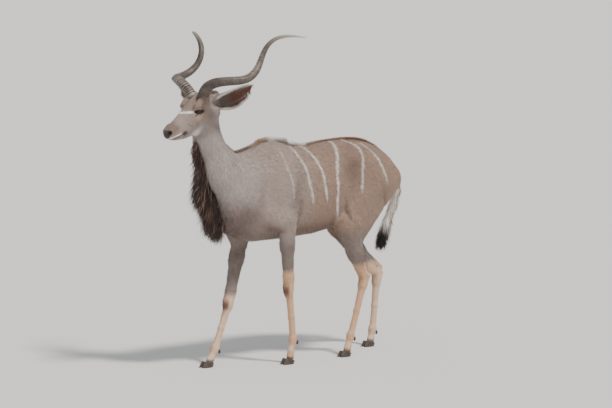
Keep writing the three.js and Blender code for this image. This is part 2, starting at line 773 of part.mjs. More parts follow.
function makeDewclaws() {
  for (const [name, leg] of Object.entries(LEGS)) {
    const { low, high } = LEG_BOX[name];
    const around = skinOver(low, [high[0], high[1], leg.fetlock[2] + 120], CELL.shank, ROOT_CLEARANCE);
    for (const [word, out] of [["outer", leg.side], ["inner", -leg.side]]) {
      const centre = add(leg.fetlock, [-DEWCLAW.back, out * DEWCLAW.out, -DEWCLAW.below]);
      const stretch = [1, 0.9, DEWCLAW.length / DEWCLAW.radius];
      const claw = ball(centre, DEWCLAW.radius, 5, 3, stretch);
      keep(`${name}_${word}_dewclaw`, claw.subtract(around), LOOKS.hoofHorn);
    }
  }
}

/** An oval tube along a smooth path, its sizes given by functions of t. */
function makeTube(path, widthAt, depthAt, rows, ringSize) {
  const curve = new THREE.CatmullRomCurve3(path.map((p) => new THREE.Vector3(...p)));
  const rings = [];
  for (let r = 0; r <= rows; r += 1) {
    const t = r / rows;
    const centre = curve.getPointAt(t).toArray();
    const ahead = curve.getTangentAt(t).toArray();
    const wide = unit(sub(LEFT, times(ahead, dot(LEFT, ahead))));
    const deep = cross(ahead, wide);
    const ring = [];
    for (let s = 0; s < ringSize; s += 1) {
      const turn = (2 * Math.PI * s) / ringSize;
      const offset = add(times(wide, widthAt(t) * Math.cos(turn)), times(deep, depthAt(t) * Math.sin(turn)));
      ring.push(add(centre, offset));
    }
    rings.push(ring);
  }
  return lofted(rings);
}

function makeTail(trunkShape) {
  const width = (t) => THREE.MathUtils.lerp(TAIL.rootWidth, TAIL.tipWidth, t);
  const tail = makeTube(TAIL_PATH, width, () => TAIL.depth, 9, 7);
  keep("tail", tail.subtract(trunkShape), LOOKS.trunkCoat);
  const bulge = (t) => (0.35 + 0.65 * Math.sin(Math.PI * Math.min(1, 0.16 + 0.84 * t) ** 0.8)) * (1 - 0.55 * t);
  const tuft = makeTube(TUFT_PATH, (t) => TUFT.width * bulge(t) + 2, (t) => TUFT.depth * bulge(t) + 2, 6, 8);
  const end = TAIL_PATH.at(-1);
  const direction = unit(sub(end, TAIL_PATH.at(-2)));
  keep("tail_tuft", keepAll(tuft, [[add(end, times(direction, 1)), direction]]), LOOKS.darkHair);
}

/** A blade of long hair that stands on the body's surface along a line of places. */
function ridge(places, heightAt, thicknessAt, shapes) {
  const rings = places.map(({ place, direction }, i) => {
    const t = i / (places.length - 1);
    const height = heightAt(t);
    const half = thicknessAt(t) / 2;
    const rooted = add(place, times(direction, -14));
    const edge = add(place, times(direction, height));
    const aside = (centre, amount) => add(centre, times(LEFT, amount));
    return [aside(rooted, -half), aside(edge, -half * 0.35), aside(edge, half * 0.35), aside(rooted, half)];
  });
  return shapes.reduce((rest, shape) => rest.subtract(shape), lofted(rings));
}

function makeLongHair(shapes) {
  const crestPlaces = [];
  for (let i = 0; i <= CREST.stations; i += 1) {
    const forward = THREE.MathUtils.lerp(CREST.from, CREST.to, i / CREST.stations);
    const from = [forward, 0, 1800];
    const down = forward > 600 ? unit([0.75, 0, -0.65]) : [0, 0, -1];
    const place = landOn(forward > 600 ? [forward - 240, 0, 1300 + (forward - 500) * 2.4] : from, down);
    crestPlaces.push({ place, direction: outward(place) });
  }
  const ends = (t) => Math.min(1, t * 12, (1 - t) * 12) ** 0.5;
  const tall = (t) => CREST.low + (CREST.high - CREST.low) * Math.exp(-(((t - 0.45) / 0.15) ** 2));
  const crest = ridge(crestPlaces, (t) => tall(t) * ends(t) + 1, () => CREST.thickness * 2, shapes);
  keep("spine_crest", crest, LOOKS.paleHair);

  const fringePlaces = [];
  for (let i = 0; i <= FRINGE.stations; i += 1) {
    const t = i / FRINGE.stations;
    const start = [1100 - 170 * t * t, 0, 1400 - 520 * t];
    const place = landOn(start, unit([-1, 0, 0.25 * t]));
    const direction = unit(add(outward(place), [0, 0, -0.45]));
    fringePlaces.push({ place, direction });
  }
  const hang = (t) => FRINGE.hang * (0.35 + 0.65 * Math.sin(Math.PI * Math.min(1, t * 1.1 + 0.05))) * ends(t) + 1;
  const fringe = ridge(fringePlaces, hang, () => FRINGE.thickness * 2, shapes);
  keep("throat_fringe", fringe, LOOKS.darkHair);
}

makeTorso();
makeNeckAndHead();
makeLegs();
makeEyes();
const headAround = skinOver(...HEAD_BOX, CELL.head, ROOT_CLEARANCE);
makeHorn(1, "left_horn", headAround);
makeHorn(-1, "right_horn", headAround);
makeEar(1, "left_ear", headAround);
makeEar(-1, "right_ear", headAround);
makeHooves();
makeDewclaws();
const trunkAround = skinOver(...TRUNK_BOX, CELL.trunk, ROOT_CLEARANCE);
const neckAround = skinOver(...NECK_BOX, CELL.neck, ROOT_CLEARANCE);
makeTail(trunkAround);
makeLongHair([trunkAround, neckAround, headAround]);

// ---- The finished animal ----

function asMesh({ name, shape, look }) {
  const data = shape.getMesh();
  const geometry = new THREE.BufferGeometry();
  geometry.setAttribute("position", new THREE.BufferAttribute(data.vertProperties, 3));
  geometry.setIndex(new THREE.BufferAttribute(data.triVerts, 1));
  geometry.computeVertexNormals();
  const material = new THREE.MeshStandardMaterial({ ...look, metalness: 0 });
  material.name = `${name}_surface`;
  const mesh = new THREE.Mesh(geometry, material);
  mesh.name = name;
  return mesh;
}

const kudu = new THREE.Group();
kudu.name = "greater_kudu_bull";
for (const part of parts) kudu.add(asMesh(part));
const bounds = new THREE.Box3().setFromObject(kudu);
const middle = bounds.getCenter(new THREE.Vector3());
kudu.position.set(-middle.x, -middle.y, -bounds.min.z);

export default kudu;
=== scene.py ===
"""A greater kudu bull in mid walk: skin, coat, horns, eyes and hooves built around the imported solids.

Anatomy is written in metres in the body's own directions, forward, left and up, from the point on
the floor under the middle of the trunk. The animal faces -X of the row, with its left side at -Y.
"""

import logging
import math
from dataclasses import dataclass, field
from enum import Enum
from typing import Callable, Iterable, Sequence

import bpy
import numpy as np
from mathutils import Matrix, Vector


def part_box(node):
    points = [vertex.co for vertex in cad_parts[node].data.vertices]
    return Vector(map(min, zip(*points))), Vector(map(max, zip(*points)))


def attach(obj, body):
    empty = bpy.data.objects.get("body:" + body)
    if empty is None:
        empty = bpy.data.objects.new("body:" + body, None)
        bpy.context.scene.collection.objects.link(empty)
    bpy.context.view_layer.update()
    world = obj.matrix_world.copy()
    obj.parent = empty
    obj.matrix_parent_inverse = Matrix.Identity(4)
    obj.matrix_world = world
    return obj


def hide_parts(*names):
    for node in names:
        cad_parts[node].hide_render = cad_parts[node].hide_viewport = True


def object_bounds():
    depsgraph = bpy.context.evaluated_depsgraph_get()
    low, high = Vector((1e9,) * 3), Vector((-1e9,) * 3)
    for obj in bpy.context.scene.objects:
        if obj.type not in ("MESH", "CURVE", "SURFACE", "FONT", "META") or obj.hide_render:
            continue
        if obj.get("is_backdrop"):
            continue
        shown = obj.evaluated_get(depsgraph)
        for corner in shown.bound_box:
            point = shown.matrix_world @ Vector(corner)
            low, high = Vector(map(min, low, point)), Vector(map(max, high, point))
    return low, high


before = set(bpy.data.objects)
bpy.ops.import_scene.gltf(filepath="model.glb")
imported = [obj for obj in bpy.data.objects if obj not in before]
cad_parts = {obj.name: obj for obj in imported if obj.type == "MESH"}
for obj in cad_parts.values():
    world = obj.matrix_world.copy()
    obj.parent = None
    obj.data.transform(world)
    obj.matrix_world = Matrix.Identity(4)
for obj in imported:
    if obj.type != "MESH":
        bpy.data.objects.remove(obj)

Array = np.ndarray
log = logging.getLogger("kudu")

BAKE_MAP = "OFBake"
TINY = 1e-9


class Side(Enum):
    """A side of the animal, as the sign of its left direction."""

    LEFT = 1
    RIGHT = -1

    @property
    def word(self) -> str:
        """The name of the side as the nodes spell it."""
        return self.name.lower()


def unit(vector: Sequence[float]) -> Array:
    """A vector scaled to length one."""
    vector = np.asarray(vector, float)
    return vector / (np.linalg.norm(vector, axis=-1, keepdims=True) + TINY)


def between(start: Sequence[float], end: Sequence[float], part: float) -> Array:
    """The point that lies the given part of the way from start to end."""
    return np.asarray(start, float) * (1 - part) + np.asarray(end, float) * part


def ease(values: Array, low: float, high: float) -> Array:
    """A smooth step that is 0 at low and 1 at high; high may be the smaller."""
    t = np.clip((values - low) / (high - low), 0, 1)
    return t * t * (3 - 2 * t)


def bell(values: Array, middle: float, width: float) -> Array:
    """A rounded bump of height 1 at the middle."""
    return np.exp(-(((values - middle) / width) ** 2))


def line_distance(points: Array, start: Sequence[float], end: Sequence[float]) -> Array:
    """The distance from each point to a straight stretch.

    Args:
        points: Places, one to a row.
        start: One end of the stretch.
        end: Its other end.

    Returns:
        One distance for each point.
    """
    start = np.asarray(start, float)
    line = np.asarray(end, float) - start
    t = np.clip((points - start) @ line / (line @ line), 0, 1)
    return np.linalg.norm(points - start - t[:, None] * line, axis=1)


# Soft forms


def smooth_table(places: Sequence[float], values: Sequence[float], count: int = 161) -> tuple[Array, Array]:
    """Samples of a smooth curve through stations, level where the values turn.

    Args:
        places: Positions of the stations, rising.
        values: The value at each station.
        count: Number of samples.

    Returns:
        The sample positions and their values.
    """
    x = np.asarray(places, float)
    y = np.asarray(values, float)
    slope = np.diff(y) / np.diff(x)
    before, after = slope[:-1], slope[1:]
    inner = np.where(before * after > 0, 2 * before * after / (before + after + TINY), 0)
    tangent = np.concatenate([slope[:1], inner, slope[-1:]])
    sample = np.linspace(x[0], x[-1], count)
    k = np.clip(np.searchsorted(x, sample) - 1, 0, len(x) - 2)
    span = x[k + 1] - x[k]
    t = (sample - x[k]) / span
    rise = (1 + 2 * t) * (1 - t) ** 2 * y[k] + t * (1 - t) ** 2 * span * tangent[k]
    fall = t * t * (3 - 2 * t) * y[k + 1] - t * t * (1 - t) * span * tangent[k + 1]
    return sample, rise + fall


@dataclass
class Sectioned:
    """A body of oval sections along a straight axis."""

    origin: Array
    axis: Array
    up: Array
    stations: Sequence[Sequence[float]]  # along, top, bottom, half width
    rear_reach: float
    front_reach: float

    def __post_init__(self) -> None:
        """Works out the smooth outline from the stations."""
        rows = np.asarray(self.stations, float)
        self.first = rows[0, 0]
        self.last = rows[-1, 0]
        self.places, self.top = smooth_table(rows[:, 0], rows[:, 1])
        self.bottom = smooth_table(rows[:, 0], rows[:, 2])[1]
        self.width = smooth_table(rows[:, 0], rows[:, 3])[1]
        self.side = np.cross(self.up, self.axis)

    def distance(self, points: Array) -> Array:
        """Signed distance from each point to the form's surface.

        Args:
            points: Places, one to a row, in body directions.

        Returns:
            A signed distance for each, negative inside.
        """
        offset = points - self.origin
        along = offset @ self.axis
        top = np.interp(along, self.places, self.top)
        bottom = np.interp(along, self.places, self.bottom)
        width = np.interp(along, self.places, self.width)
        height = (top - bottom) / 2
        reach = np.where(along > self.last, self.front_reach, self.rear_reach)
        x = offset @ self.side / width
        y = (offset @ self.up - (top + bottom) / 2) / height
        z = np.maximum(np.maximum(along - self.last, self.first - along), 0) / reach
        radial = np.sqrt(x * x + y * y + z * z) + TINY
        slope = np.sqrt((x / width) ** 2 + (y / height) ** 2 + (z / reach) ** 2) + TINY
        return radial * (radial - 1) / slope


@dataclass
class Bar:
    """A rounded bar that tapers from end to end, pressed flat from side to side."""

    start: Array
    start_radius: float
    end: Array
    end_radius: float
    flat: float = 1.0

    def __post_init__(self) -> None:
        """Finds a ball that holds the bar, to skip points that lie far from it."""
        self.start = np.asarray(self.start, float)
        self.end = np.asarray(self.end, float)
        self.middle = (self.start + self.end) / 2
        half = np.linalg.norm(self.end - self.start) / 2
        self.reach = half + max(self.start_radius, self.end_radius)
        self.fillet = float(np.clip(0.55 * min(self.start_radius, self.end_radius) + 0.004, 0.012, 0.07))

    def distance(self, points: Array) -> Array:
        """Signed distance from each point to the bar's surface.

        Args:
            points: Places, one to a row, in body directions.

        Returns:
            A signed distance for each, negative inside.
        """
        squeeze = np.array([1.0, 1 / self.flat, 1.0])
        line = (self.end - self.start) * squeeze
        offset = (points - self.start) * squeeze
        t = np.clip(offset @ line / (line @ line), 0, 1)
        radius = self.start_radius + (self.end_radius - self.start_radius) * t
        away = offset - t[:, None] * line
        return (np.sqrt((away * away).sum(1)) - radius) * self.flat


def blend(a: Array, b: Array, width: float) -> Array:
    """The union of two distances, with a fillet of the given width."""
    h = np.maximum(width - np.abs(a - b), 0) / width
    return np.minimum(a, b) - h * h * width / 4


def carve(a: Array, b: Array, width: float) -> Array:
    """What is left of form a when form b is cut from it, with a rounded edge."""
    return -blend(-a, b, width)


# The animal's measurements

TRUNK_STATIONS = (
    (-0.700, 1.190, 1.000, 0.085),
    (-0.640, 1.255, 0.990, 0.135),
    (-0.550, 1.322, 0.970, 0.165),
    (-0.420, 1.366, 0.900, 0.195),
    (-0.270, 1.378, 0.850, 0.212),
    (-0.120, 1.370, 0.805, 0.225),
    (0.020, 1.352, 0.785, 0.228),
    (0.160, 1.358, 0.778, 0.218),
    (0.300, 1.392, 0.772, 0.190),
    (0.420, 1.368, 0.772, 0.165),
    (0.530, 1.318, 0.790, 0.145),
    (0.620, 1.250, 0.835, 0.120),
)
HEAD_STATIONS = (
    (-0.020, -0.008, -0.080, 0.048),
    (0.030, 0.032, -0.128, 0.060),
    (0.080, 0.052, -0.150, 0.068),
    (0.130, 0.050, -0.158, 0.072),
    (0.180, 0.042, -0.158, 0.066),
    (0.230, 0.033, -0.148, 0.057),
    (0.280, 0.026, -0.132, 0.050),
    (0.330, 0.020, -0.112, 0.046),
    (0.370, 0.015, -0.088, 0.044),
    (0.392, 0.007, -0.070, 0.041),
)


@dataclass
class HeadFrame:
    """The head's own directions: along the face, out to its left and up from the face."""

    poll: Array = field(default_factory=lambda: np.array([0.783, 0.003, 1.700]))
    turn: float = math.radians(6)
    nod: float = math.radians(31)

    def __post_init__(self) -> None:
        """Works out the three directions from the turn and the nod."""
        self.level = np.array([math.cos(self.turn), math.sin(self.turn), 0.0])
        self.left = np.array([-math.sin(self.turn), math.cos(self.turn), 0.0])
        self.face = self.level * math.cos(self.nod) - np.array([0, 0, math.sin(self.nod)])
        self.crown = np.cross(self.face, self.left)

    def at(self, along: float, out: float, up: float) -> Array:
        """A place on the head in body directions."""
        return self.poll + self.face * along + self.left * out + self.crown * up

    def local(self, points: Array) -> tuple[Array, Array, Array]:
        """How far along, out and up each point lies on the head."""
        offset = points - self.poll
        return offset @ self.face, offset @ self.left, offset @ self.crown


HEAD = HeadFrame()


@dataclass
class Leg:
    """The joints of one leg, from the top down."""

    side: Side
    fore: bool
    top: Sequence[float]
    elbow: Sequence[float]  # the stifle on a hind leg
    knee: Sequence[float]  # the hock on a hind leg
    fetlock: Sequence[float]
    toe: Sequence[float]

    @property
    def name(self) -> str:
        """The start of the names of this leg's nodes."""
        return f"{self.side.word}_{'fore' if self.fore else 'hind'}"


LEGS = (
    Leg(
        Side.LEFT,
        True,
        top=(0.528, 0.125, 1.020),
        elbow=(0.275, 0.155, 0.885),
        knee=(0.243, 0.122, 0.475),
        fetlock=(0.202, 0.112, 0.150),
        toe=(0.228, 0.112, 0.020),
    ),
    Leg(
        Side.RIGHT,
        True,
        top=(0.570, -0.125, 1.000),
        elbow=(0.398, -0.150, 0.790),
        knee=(0.528, -0.122, 0.385),
        fetlock=(0.645, -0.112, 0.108),
        toe=(0.692, -0.112, 0.020),
    ),
    Leg(
        Side.LEFT,
        False,
        top=(-0.500, 0.115, 1.130),
        elbow=(-0.205, 0.155, 0.835),
        knee=(-0.378, 0.122, 0.485),
        fetlock=(-0.272, 0.112, 0.125),
        toe=(-0.240, 0.112, 0.020),
    ),
    Leg(
        Side.RIGHT,
        False,
        top=(-0.520, -0.115, 1.130),
        elbow=(-0.400, -0.155, 0.800),
        knee=(-0.702, -0.122, 0.455),
        fetlock=(-0.655, -0.112, 0.105),
        toe=(-0.636, -0.112, 0.020),
    ),
)

TAIL_PATH = (
    (-0.700, 0.000, 1.190),
    (-0.765, -0.006, 1.130),
    (-0.786, -0.022, 1.040),
    (-0.776, -0.045, 0.940),
    (-0.752, -0.070, 0.850),
    (-0.732, -0.088, 0.770),
    (-0.724, -0.096, 0.715),
)
TAIL_TAPER = 0.0014


@dataclass
class Ear:
    """A leaf rolled into a tube at its foot, opening toward its tip."""

    side: Side
    aim: Sequence[float]
    opening: Sequence[float]
    length: float = 0.268
    root: float = 0.028
    width: float = 0.066
    sag: float = 0.026
    wall: float = 0.0064

    def __post_init__(self) -> None:
        """Works out the ear's own directions."""
        self.foot = HEAD.at(0.036, self.side.value * 0.058, -0.040)
        self.ahead = unit(self.aim)
        opening = np.asarray(self.opening, float)
        self.open = unit(opening - self.ahead * (opening @ self.ahead))
        self.across = np.cross(self.open, self.ahead)

    def section(self, t: Array) -> tuple[Array, Array, Array]:
        """The rolled section at t from foot (0) to tip (1).

        Args:
            t: Places along the ear.

        Returns:
            The arc's radius, half angle and the shift of its centre toward the opening.
        """
        swell = 0.36 + 0.64 * np.sin(math.pi * np.minimum(0.5, t * 0.80))
        width = self.width * swell * (1 - np.minimum(t, 1) ** 3.2) ** 0.8 + 0.002
        curl = 2.35 - 1.5 * np.minimum(1, t * 1.35)
        radius = width / np.sin(np.minimum(curl, math.pi / 2))
        return radius, curl, radius * (np.cos(curl) * 0.6 + 0.2)

    def flat(self, points: Array) -> tuple[Array, Array, Array, Array]:
        """How far along each point is, the part of the length, and its place in the section.

        Args:
            points: Places, one to a row, in body directions.

        Returns:
            Lengths, parts of the length, and places across and out of the section.
        """
        offset = points - self.foot
        along = offset @ self.ahead
        t = np.clip((along + self.root) / (self.length + self.root), 0, 1)
        sag = self.side.value * self.sag * np.sin(math.pi * t**1.15)
        return along, t, offset @ self.across + sag, offset @ self.open - self.section(t)[2]

    def local(self, points: Array) -> tuple[Array, Array, Array]:
        """Part of the length, angle round the roll and depth inside the roll's surface."""
        _, t, x, y = self.flat(points)
        return t, np.arctan2(np.abs(x), -y), self.section(t)[0] - np.hypot(x, y)

    def mask(self, points: Array) -> Array:
        """1 on the free part of the ear, 0 away from it."""
        on_side = points[:, 1] * self.side.value > 0.03
        return ease(self.distance(points), 0.009, 0.003) * ease(self.flat(points)[0], 0.016, 0.040) * on_side

    def distance(self, points: Array) -> Array:
        """Signed distance from each point to the ear's surface.

        Args:
            points: Places, one to a row, in body directions.

        Returns:
            A signed distance for each, negative inside.
        """
        along, t, x, y = self.flat(points)
        radius, curl, _ = self.section(t)
        wall = self.wall * (1.3 - 0.45 * t)
        middle = radius - wall / 2 - 0.0008
        x = np.abs(x)
        in_arc = np.arctan2(x, -y) < curl
        to_arc = np.abs(np.hypot(x, y) - middle)
        to_rim = np.hypot(x - middle * np.sin(curl), y + middle * np.cos(curl))
        flat = np.where(in_arc, to_arc, to_rim) - wall / 2
        beyond = np.maximum(np.maximum(along - self.length, -self.root - along), 0)
        return np.hypot(np.maximum(flat, 0), beyond) + np.minimum(flat, 0)


EARS = (
    Ear(Side.LEFT, aim=(-0.66, 0.60, 0.40), opening=(0.55, 0.75, -0.35)),
    Ear(Side.RIGHT, aim=(-0.10, -0.95, 0.28), opening=(0.80, -0.25, -0.35)),
)


@dataclass
class Eyeball:
    """Where an eye sits and how large it is."""

    along: float = 0.158
    out: float = 0.056
    up: float = -0.019
    radius: float = 0.019

    def centre(self, side: Side) -> Array:
        """The middle of the eye on one side."""
        return HEAD.at(self.along, side.value * self.out, self.up)

    def gaze(self, side: Side) -> Array:
        """The direction that the eye looks in."""
        return unit(HEAD.left * side.value + HEAD.face * 0.22 + HEAD.crown * 0.10)


EYE = Eyeball()
NOSTRIL = (0.408, 0.0300, -0.0120)
MOUTH_FRONT = (0.400, -0.057)
MOUTH_SLOPE = 0.20


class Flesh:
    """The whole animal's outline as one signed distance, without horns and long hair."""

    def __init__(self) -> None:
        """Lays out the trunk, neck, head, legs and tail."""
        axes = np.eye(3)
        self.trunk = Sectioned(np.zeros(3), axes[0], axes[2], TRUNK_STATIONS, 0.075, 0.100)
        self.skull = Sectioned(HEAD.poll, HEAD.face, HEAD.crown, HEAD_STATIONS, 0.050, 0.032)
        self.bars: list[Bar] = []
        self.neck()
        self.grow((0.365, 0, 1.345), 0.046, (0.215, 0, 1.350), 0.038)
        for leg in LEGS:
            if leg.fore:
                self.foreleg(leg)
            else:
                self.hind_leg(leg)
        self.face_bars: list[Bar] = []
        self.head()
        self.tail_bars: list[Bar] = []
        for i, (start, end) in enumerate(zip(TAIL_PATH, TAIL_PATH[1:])):
            self.tail_bars.append(Bar(start, 0.021 - TAIL_TAPER * i, end, 0.0196 - TAIL_TAPER * i))

    def grow(
        self, start: Sequence[float], r0: float, end: Sequence[float], r1: float, flat: float = 1.0
    ) -> Bar:
        """Adds one rounded bar of flesh and returns it."""
        self.bars.append(Bar(start, r0, end, r1, flat))
        return self.bars[-1]

    def neck(self) -> None:
        """Adds the neck, from the shoulders up to the poll."""
        base, shoulder = (0.49, 0, 1.085), (0.676, 0, 1.215)
        middle, top = (0.780, 0, 1.400), (0.796, 0, 1.590)
        self.grow(base, 0.222, shoulder, 0.136, 0.74).fillet = 0.10
        self.grow(shoulder, 0.136, middle, 0.088, 0.88).fillet = 0.05
        self.grow(middle, 0.088, top, 0.082, 0.92).fillet = 0.05

    def shank(self, leg: Leg, cannon_top: float, tendon: float) -> None:
        """Adds a leg below its knee or hock.

        Args:
            leg: The leg.
            cannon_top: The bone's radius under the knee.
            tendon: How far the tendon stands behind it.
        """

        def down(part: float) -> Array:
            """A place on the line from the knee to the fetlock."""
            return between(leg.knee, leg.fetlock, part)

        fetlock = np.asarray(leg.fetlock)
        self.grow(down(0.08), cannon_top, down(0.55), 0.019)
        self.grow(down(0.55), 0.019, down(0.95), 0.0215)
        self.grow(down(0.14) - (tendon, 0, 0), 0.0155, down(0.92) - (0.011, 0, 0), 0.015)
        self.grow(fetlock + (-0.002, 0, 0.006), 0.0265, fetlock + (0, 0, -0.006), 0.0255)
        self.grow(fetlock, 0.0225, between(fetlock, leg.toe, 0.62), 0.0205)
        self.grow(between(fetlock, leg.toe, 0.55), 0.021, between(fetlock, leg.toe, 0.82), 0.026)

    def foreleg(self, leg: Leg) -> None:
        """Adds a shoulder, upper arm, forearm and knee.

        Args:
            leg: The leg.
        """
        side = leg.side.value
        top, elbow, knee = (np.asarray(p) for p in (leg.top, leg.elbow, leg.knee))

        def down(part: float) -> Array:
            """A place on the line from the elbow to the knee."""
            return between(elbow, knee, part)

        withers, point = (0.34, side * 0.085, 1.27), (top[0] - 0.02, top[1] * 0.88, top[2] + 0.03)
        self.grow(withers, 0.075, point, 0.080, 0.8)
        self.grow((0.40, side * 0.09, 1.16), 0.085, elbow + (0.03, -side * 0.01, 0.05), 0.072, 0.75)
        self.grow((top[0], top[1] * 0.8, top[2]), 0.085, elbow + (0.05, -side * 0.008, 0.02), 0.065, 0.9)
        self.grow(elbow + (0, 0, 0.03), 0.068, down(0.35) + (0.008, 0, 0), 0.050, 0.85)
        self.grow(down(0.3) + (0.008, 0, 0), 0.051, down(0.85), 0.035, 0.9)
        self.grow(down(0.82), 0.034, down(1.02), 0.033)
        self.grow(knee + (0.006, 0, 0.012), 0.032, knee + (0.004, 0, -0.030), 0.027)
        self.shank(leg, 0.025, 0.011)

    def hind_leg(self, leg: Leg) -> None:
        """Adds a haunch, thigh, gaskin and hock.

        Args:
            leg: The leg.
        """
        side = leg.side.value
        top, stifle, hock = (np.asarray(p) for p in (leg.top, leg.elbow, leg.knee))
        heel = hock + (-0.034, 0, 0.018)

        def down(part: float) -> Array:
            """A place on the line from the stifle to the hock."""
            return between(stifle, hock, part)

        self.grow(top + (0.02, -side * 0.01, 0.02), 0.125, stifle + (-0.06, -side * 0.02, 0.03), 0.098, 0.85)
        seat, calf = top + (-0.12, -side * 0.025, -0.02), down(0.25) + (-0.06, -side * 0.01, 0.03)
        self.grow(seat, 0.085, calf, 0.062, 0.85)
        self.grow((-0.28, side * 0.13, 1.26), 0.090, top, 0.115, 0.8)
        self.grow(top + (0.12, 0, -0.05), 0.090, stifle + (0.01, 0, 0.02), 0.074, 0.8)
        self.grow(stifle, 0.076, down(0.5), 0.058, 0.88)
        self.grow(down(0.45), 0.058, down(0.85), 0.037, 0.88)
        self.grow(down(0.45) + (-0.03, 0, 0), 0.028, heel + (0, 0, 0.035), 0.016)
        self.grow(heel, 0.019, between(hock, leg.fetlock, 0.12), 0.027)
        self.grow(hock + (0.004, 0, 0.020), 0.035, between(hock, leg.fetlock, 0.1), 0.028)
        self.shank(leg, 0.0265, 0.0125)

    def head(self) -> None:
        """Adds brow, cheek, jaw, nostril and lips to the skull."""
        bars = []
        for side in (1, -1):

            def at(along: float, out: float, up: float) -> Array:
                """A place on this side of the head."""
                return HEAD.at(along, side * out, up)

            bars.append(Bar(at(0.114, 0.064, 0.028), 0.024, at(0.164, 0.060, 0.019), 0.020))
            bars.append(Bar(at(0.148, 0.050, -0.046), 0.022, at(0.200, 0.042, -0.060), 0.023))
            bars.append(Bar(at(0.050, 0.040, -0.098), 0.043, at(0.110, 0.034, -0.104), 0.043))
            bars.append(Bar(at(0.352, 0.025, -0.008), 0.021, at(0.388, 0.024, -0.012), 0.019))
            bars.append(Bar(at(0.075, 0.045, 0.012), 0.036, at(0.072, 0.049, 0.032), 0.035))
        bars.append(Bar(HEAD.at(0.368, 0, -0.040), 0.030, HEAD.at(0.394, 0, -0.034), 0.025))
        bars.append(Bar(HEAD.at(0.300, 0, -0.088), 0.030, HEAD.at(0.368, 0, -0.070), 0.020))
        self.face_bars = bars

    def outline(self, points: Array) -> Array:
        """Signed distance to the outline at the tips of the short coat.

        Args:
            points: Places, one to a row, in body directions.

        Returns:
            A signed distance for each, negative inside.
        """
        distance = self.trunk.distance(points)
        near_head = points[:, 0] > 0.6
        if near_head.any():
            skull = self.skull.distance(points[near_head])
            distance[near_head] = blend(distance[near_head], skull, 0.045)
        for bar in [*self.bars, *self.face_bars, *self.tail_bars]:
            offset = points - bar.middle
            limit = bar.reach + bar.fillet + np.maximum(distance, 0)
            near = np.nonzero((offset * offset).sum(1) < limit * limit)[0]
            if len(near):
                distance[near] = blend(distance[near], bar.distance(points[near]), bar.fillet)
        return distance

    @staticmethod
    def coat_depth(points: Array) -> Array:
        """How far the skin lies under the tips of the coat.

        Args:
            points: Places, one to a row, in body directions.

        Returns:
            A depth for each.
        """
        along = HEAD.local(points)[0]
        on_head = ease(points[:, 0], 0.74, 0.84) * ease(points[:, 2], 1.40, 1.48)
        low = ease(points[:, 2], 0.75, 0.45)
        depth = 0.0065 - 0.0035 * np.maximum(low, on_head)
        return depth - 0.0015 * on_head * ease(along, 0.26, 0.34)

    def skin(self, points: Array) -> Array:
        """Signed distance to the skin, with ears, lids, nostrils, mouth and folds.

        Args:
            points: Places, one to a row, in body directions.

        Returns:
            A signed distance for each, negative inside.
        """
        distance = self.outline(points) + self.coat_depth(points)
        distance = distance + self.folds(points)
        head = np.nonzero((points[:, 0] > 0.5) & (points[:, 2] > 1.40))[0]
        if len(head):
            distance[head] = self.face(points[head], distance[head])
        return np.maximum(distance, 0.022 - points[:, 2])

    @staticmethod
    def folds(points: Array) -> Array:
        """How much the skin is sunk along its creases, muscles and ribs.

        Args:
            points: Places, one to a row, in body directions.

        Returns:
            A depth for each.
        """
        forward, left, up = points.T
        aside = np.abs(left)
        sunk = np.zeros(len(points))
        if not ((up > 0.7) & (forward < 0.8)).any():
            return sunk
        for place in (0.640, 0.662, 0.684):
            crease = place + 0.035 * (up - 1.25) + 0.012 * np.sin(up * 9)
            sunk += 0.0060 * bell(forward, crease, 0.0055) * bell(up, 1.31, 0.09) * ease(aside, 0.05, 0.09)
        ribs = 0.5 + 0.5 * np.sin((forward + 0.16 * (up - 1.0)) * 150)
        cage = ease(forward, -0.16, -0.02) * ease(forward, 0.26, 0.14) * bell(up, 1.02, 0.13)
        sunk += 0.0011 * ribs * cage
        blade = forward - (0.235 + 0.25 * (1.30 - up))
        sunk += 0.0090 * bell(blade, -0.055, 0.028) * bell(up, 1.08, 0.14) * ease(aside, 0.08, 0.14)
        elbow = line_distance(points * (1, 0, 1), (0.205, 0, 1.02), (0.222, 0, 0.885))
        sunk += 0.0100 * bell(elbow, 0.0, 0.014) * ease(aside, 0.10, 0.15) * (left > 0)
        elbow = line_distance(points * (1, 0, 1), (0.300, 0, 0.98), (0.335, 0, 0.83))
        sunk += 0.0100 * bell(elbow, 0.0, 0.014) * ease(aside, 0.10, 0.15) * (left < 0)
        armpit = forward - 0.50 - 0.30 * (1.10 - up)
        sunk += 0.0060 * bell(armpit, 0.0, 0.022) * bell(up, 1.06, 0.10) * ease(aside, 0.06, 0.12)
        flank = np.hypot((forward + 0.215) / 0.075, (up - 1.19) / 0.10)
        sunk += 0.010 * np.exp(-flank * flank) * ease(aside, 0.08, 0.14)
        stifle = forward + 0.175 - 0.35 * (up - 0.93)
        sunk += 0.009 * bell(stifle, 0.0, 0.014) * bell(up, 0.93, 0.07) * ease(aside, 0.1, 0.14)
        thigh = forward + 0.50 - 0.55 * (up - 1.0)
        sunk += 0.0060 * bell(thigh, 0.0, 0.018) * bell(up, 0.96, 0.10) * ease(aside, 0.1, 0.14)
        return sunk

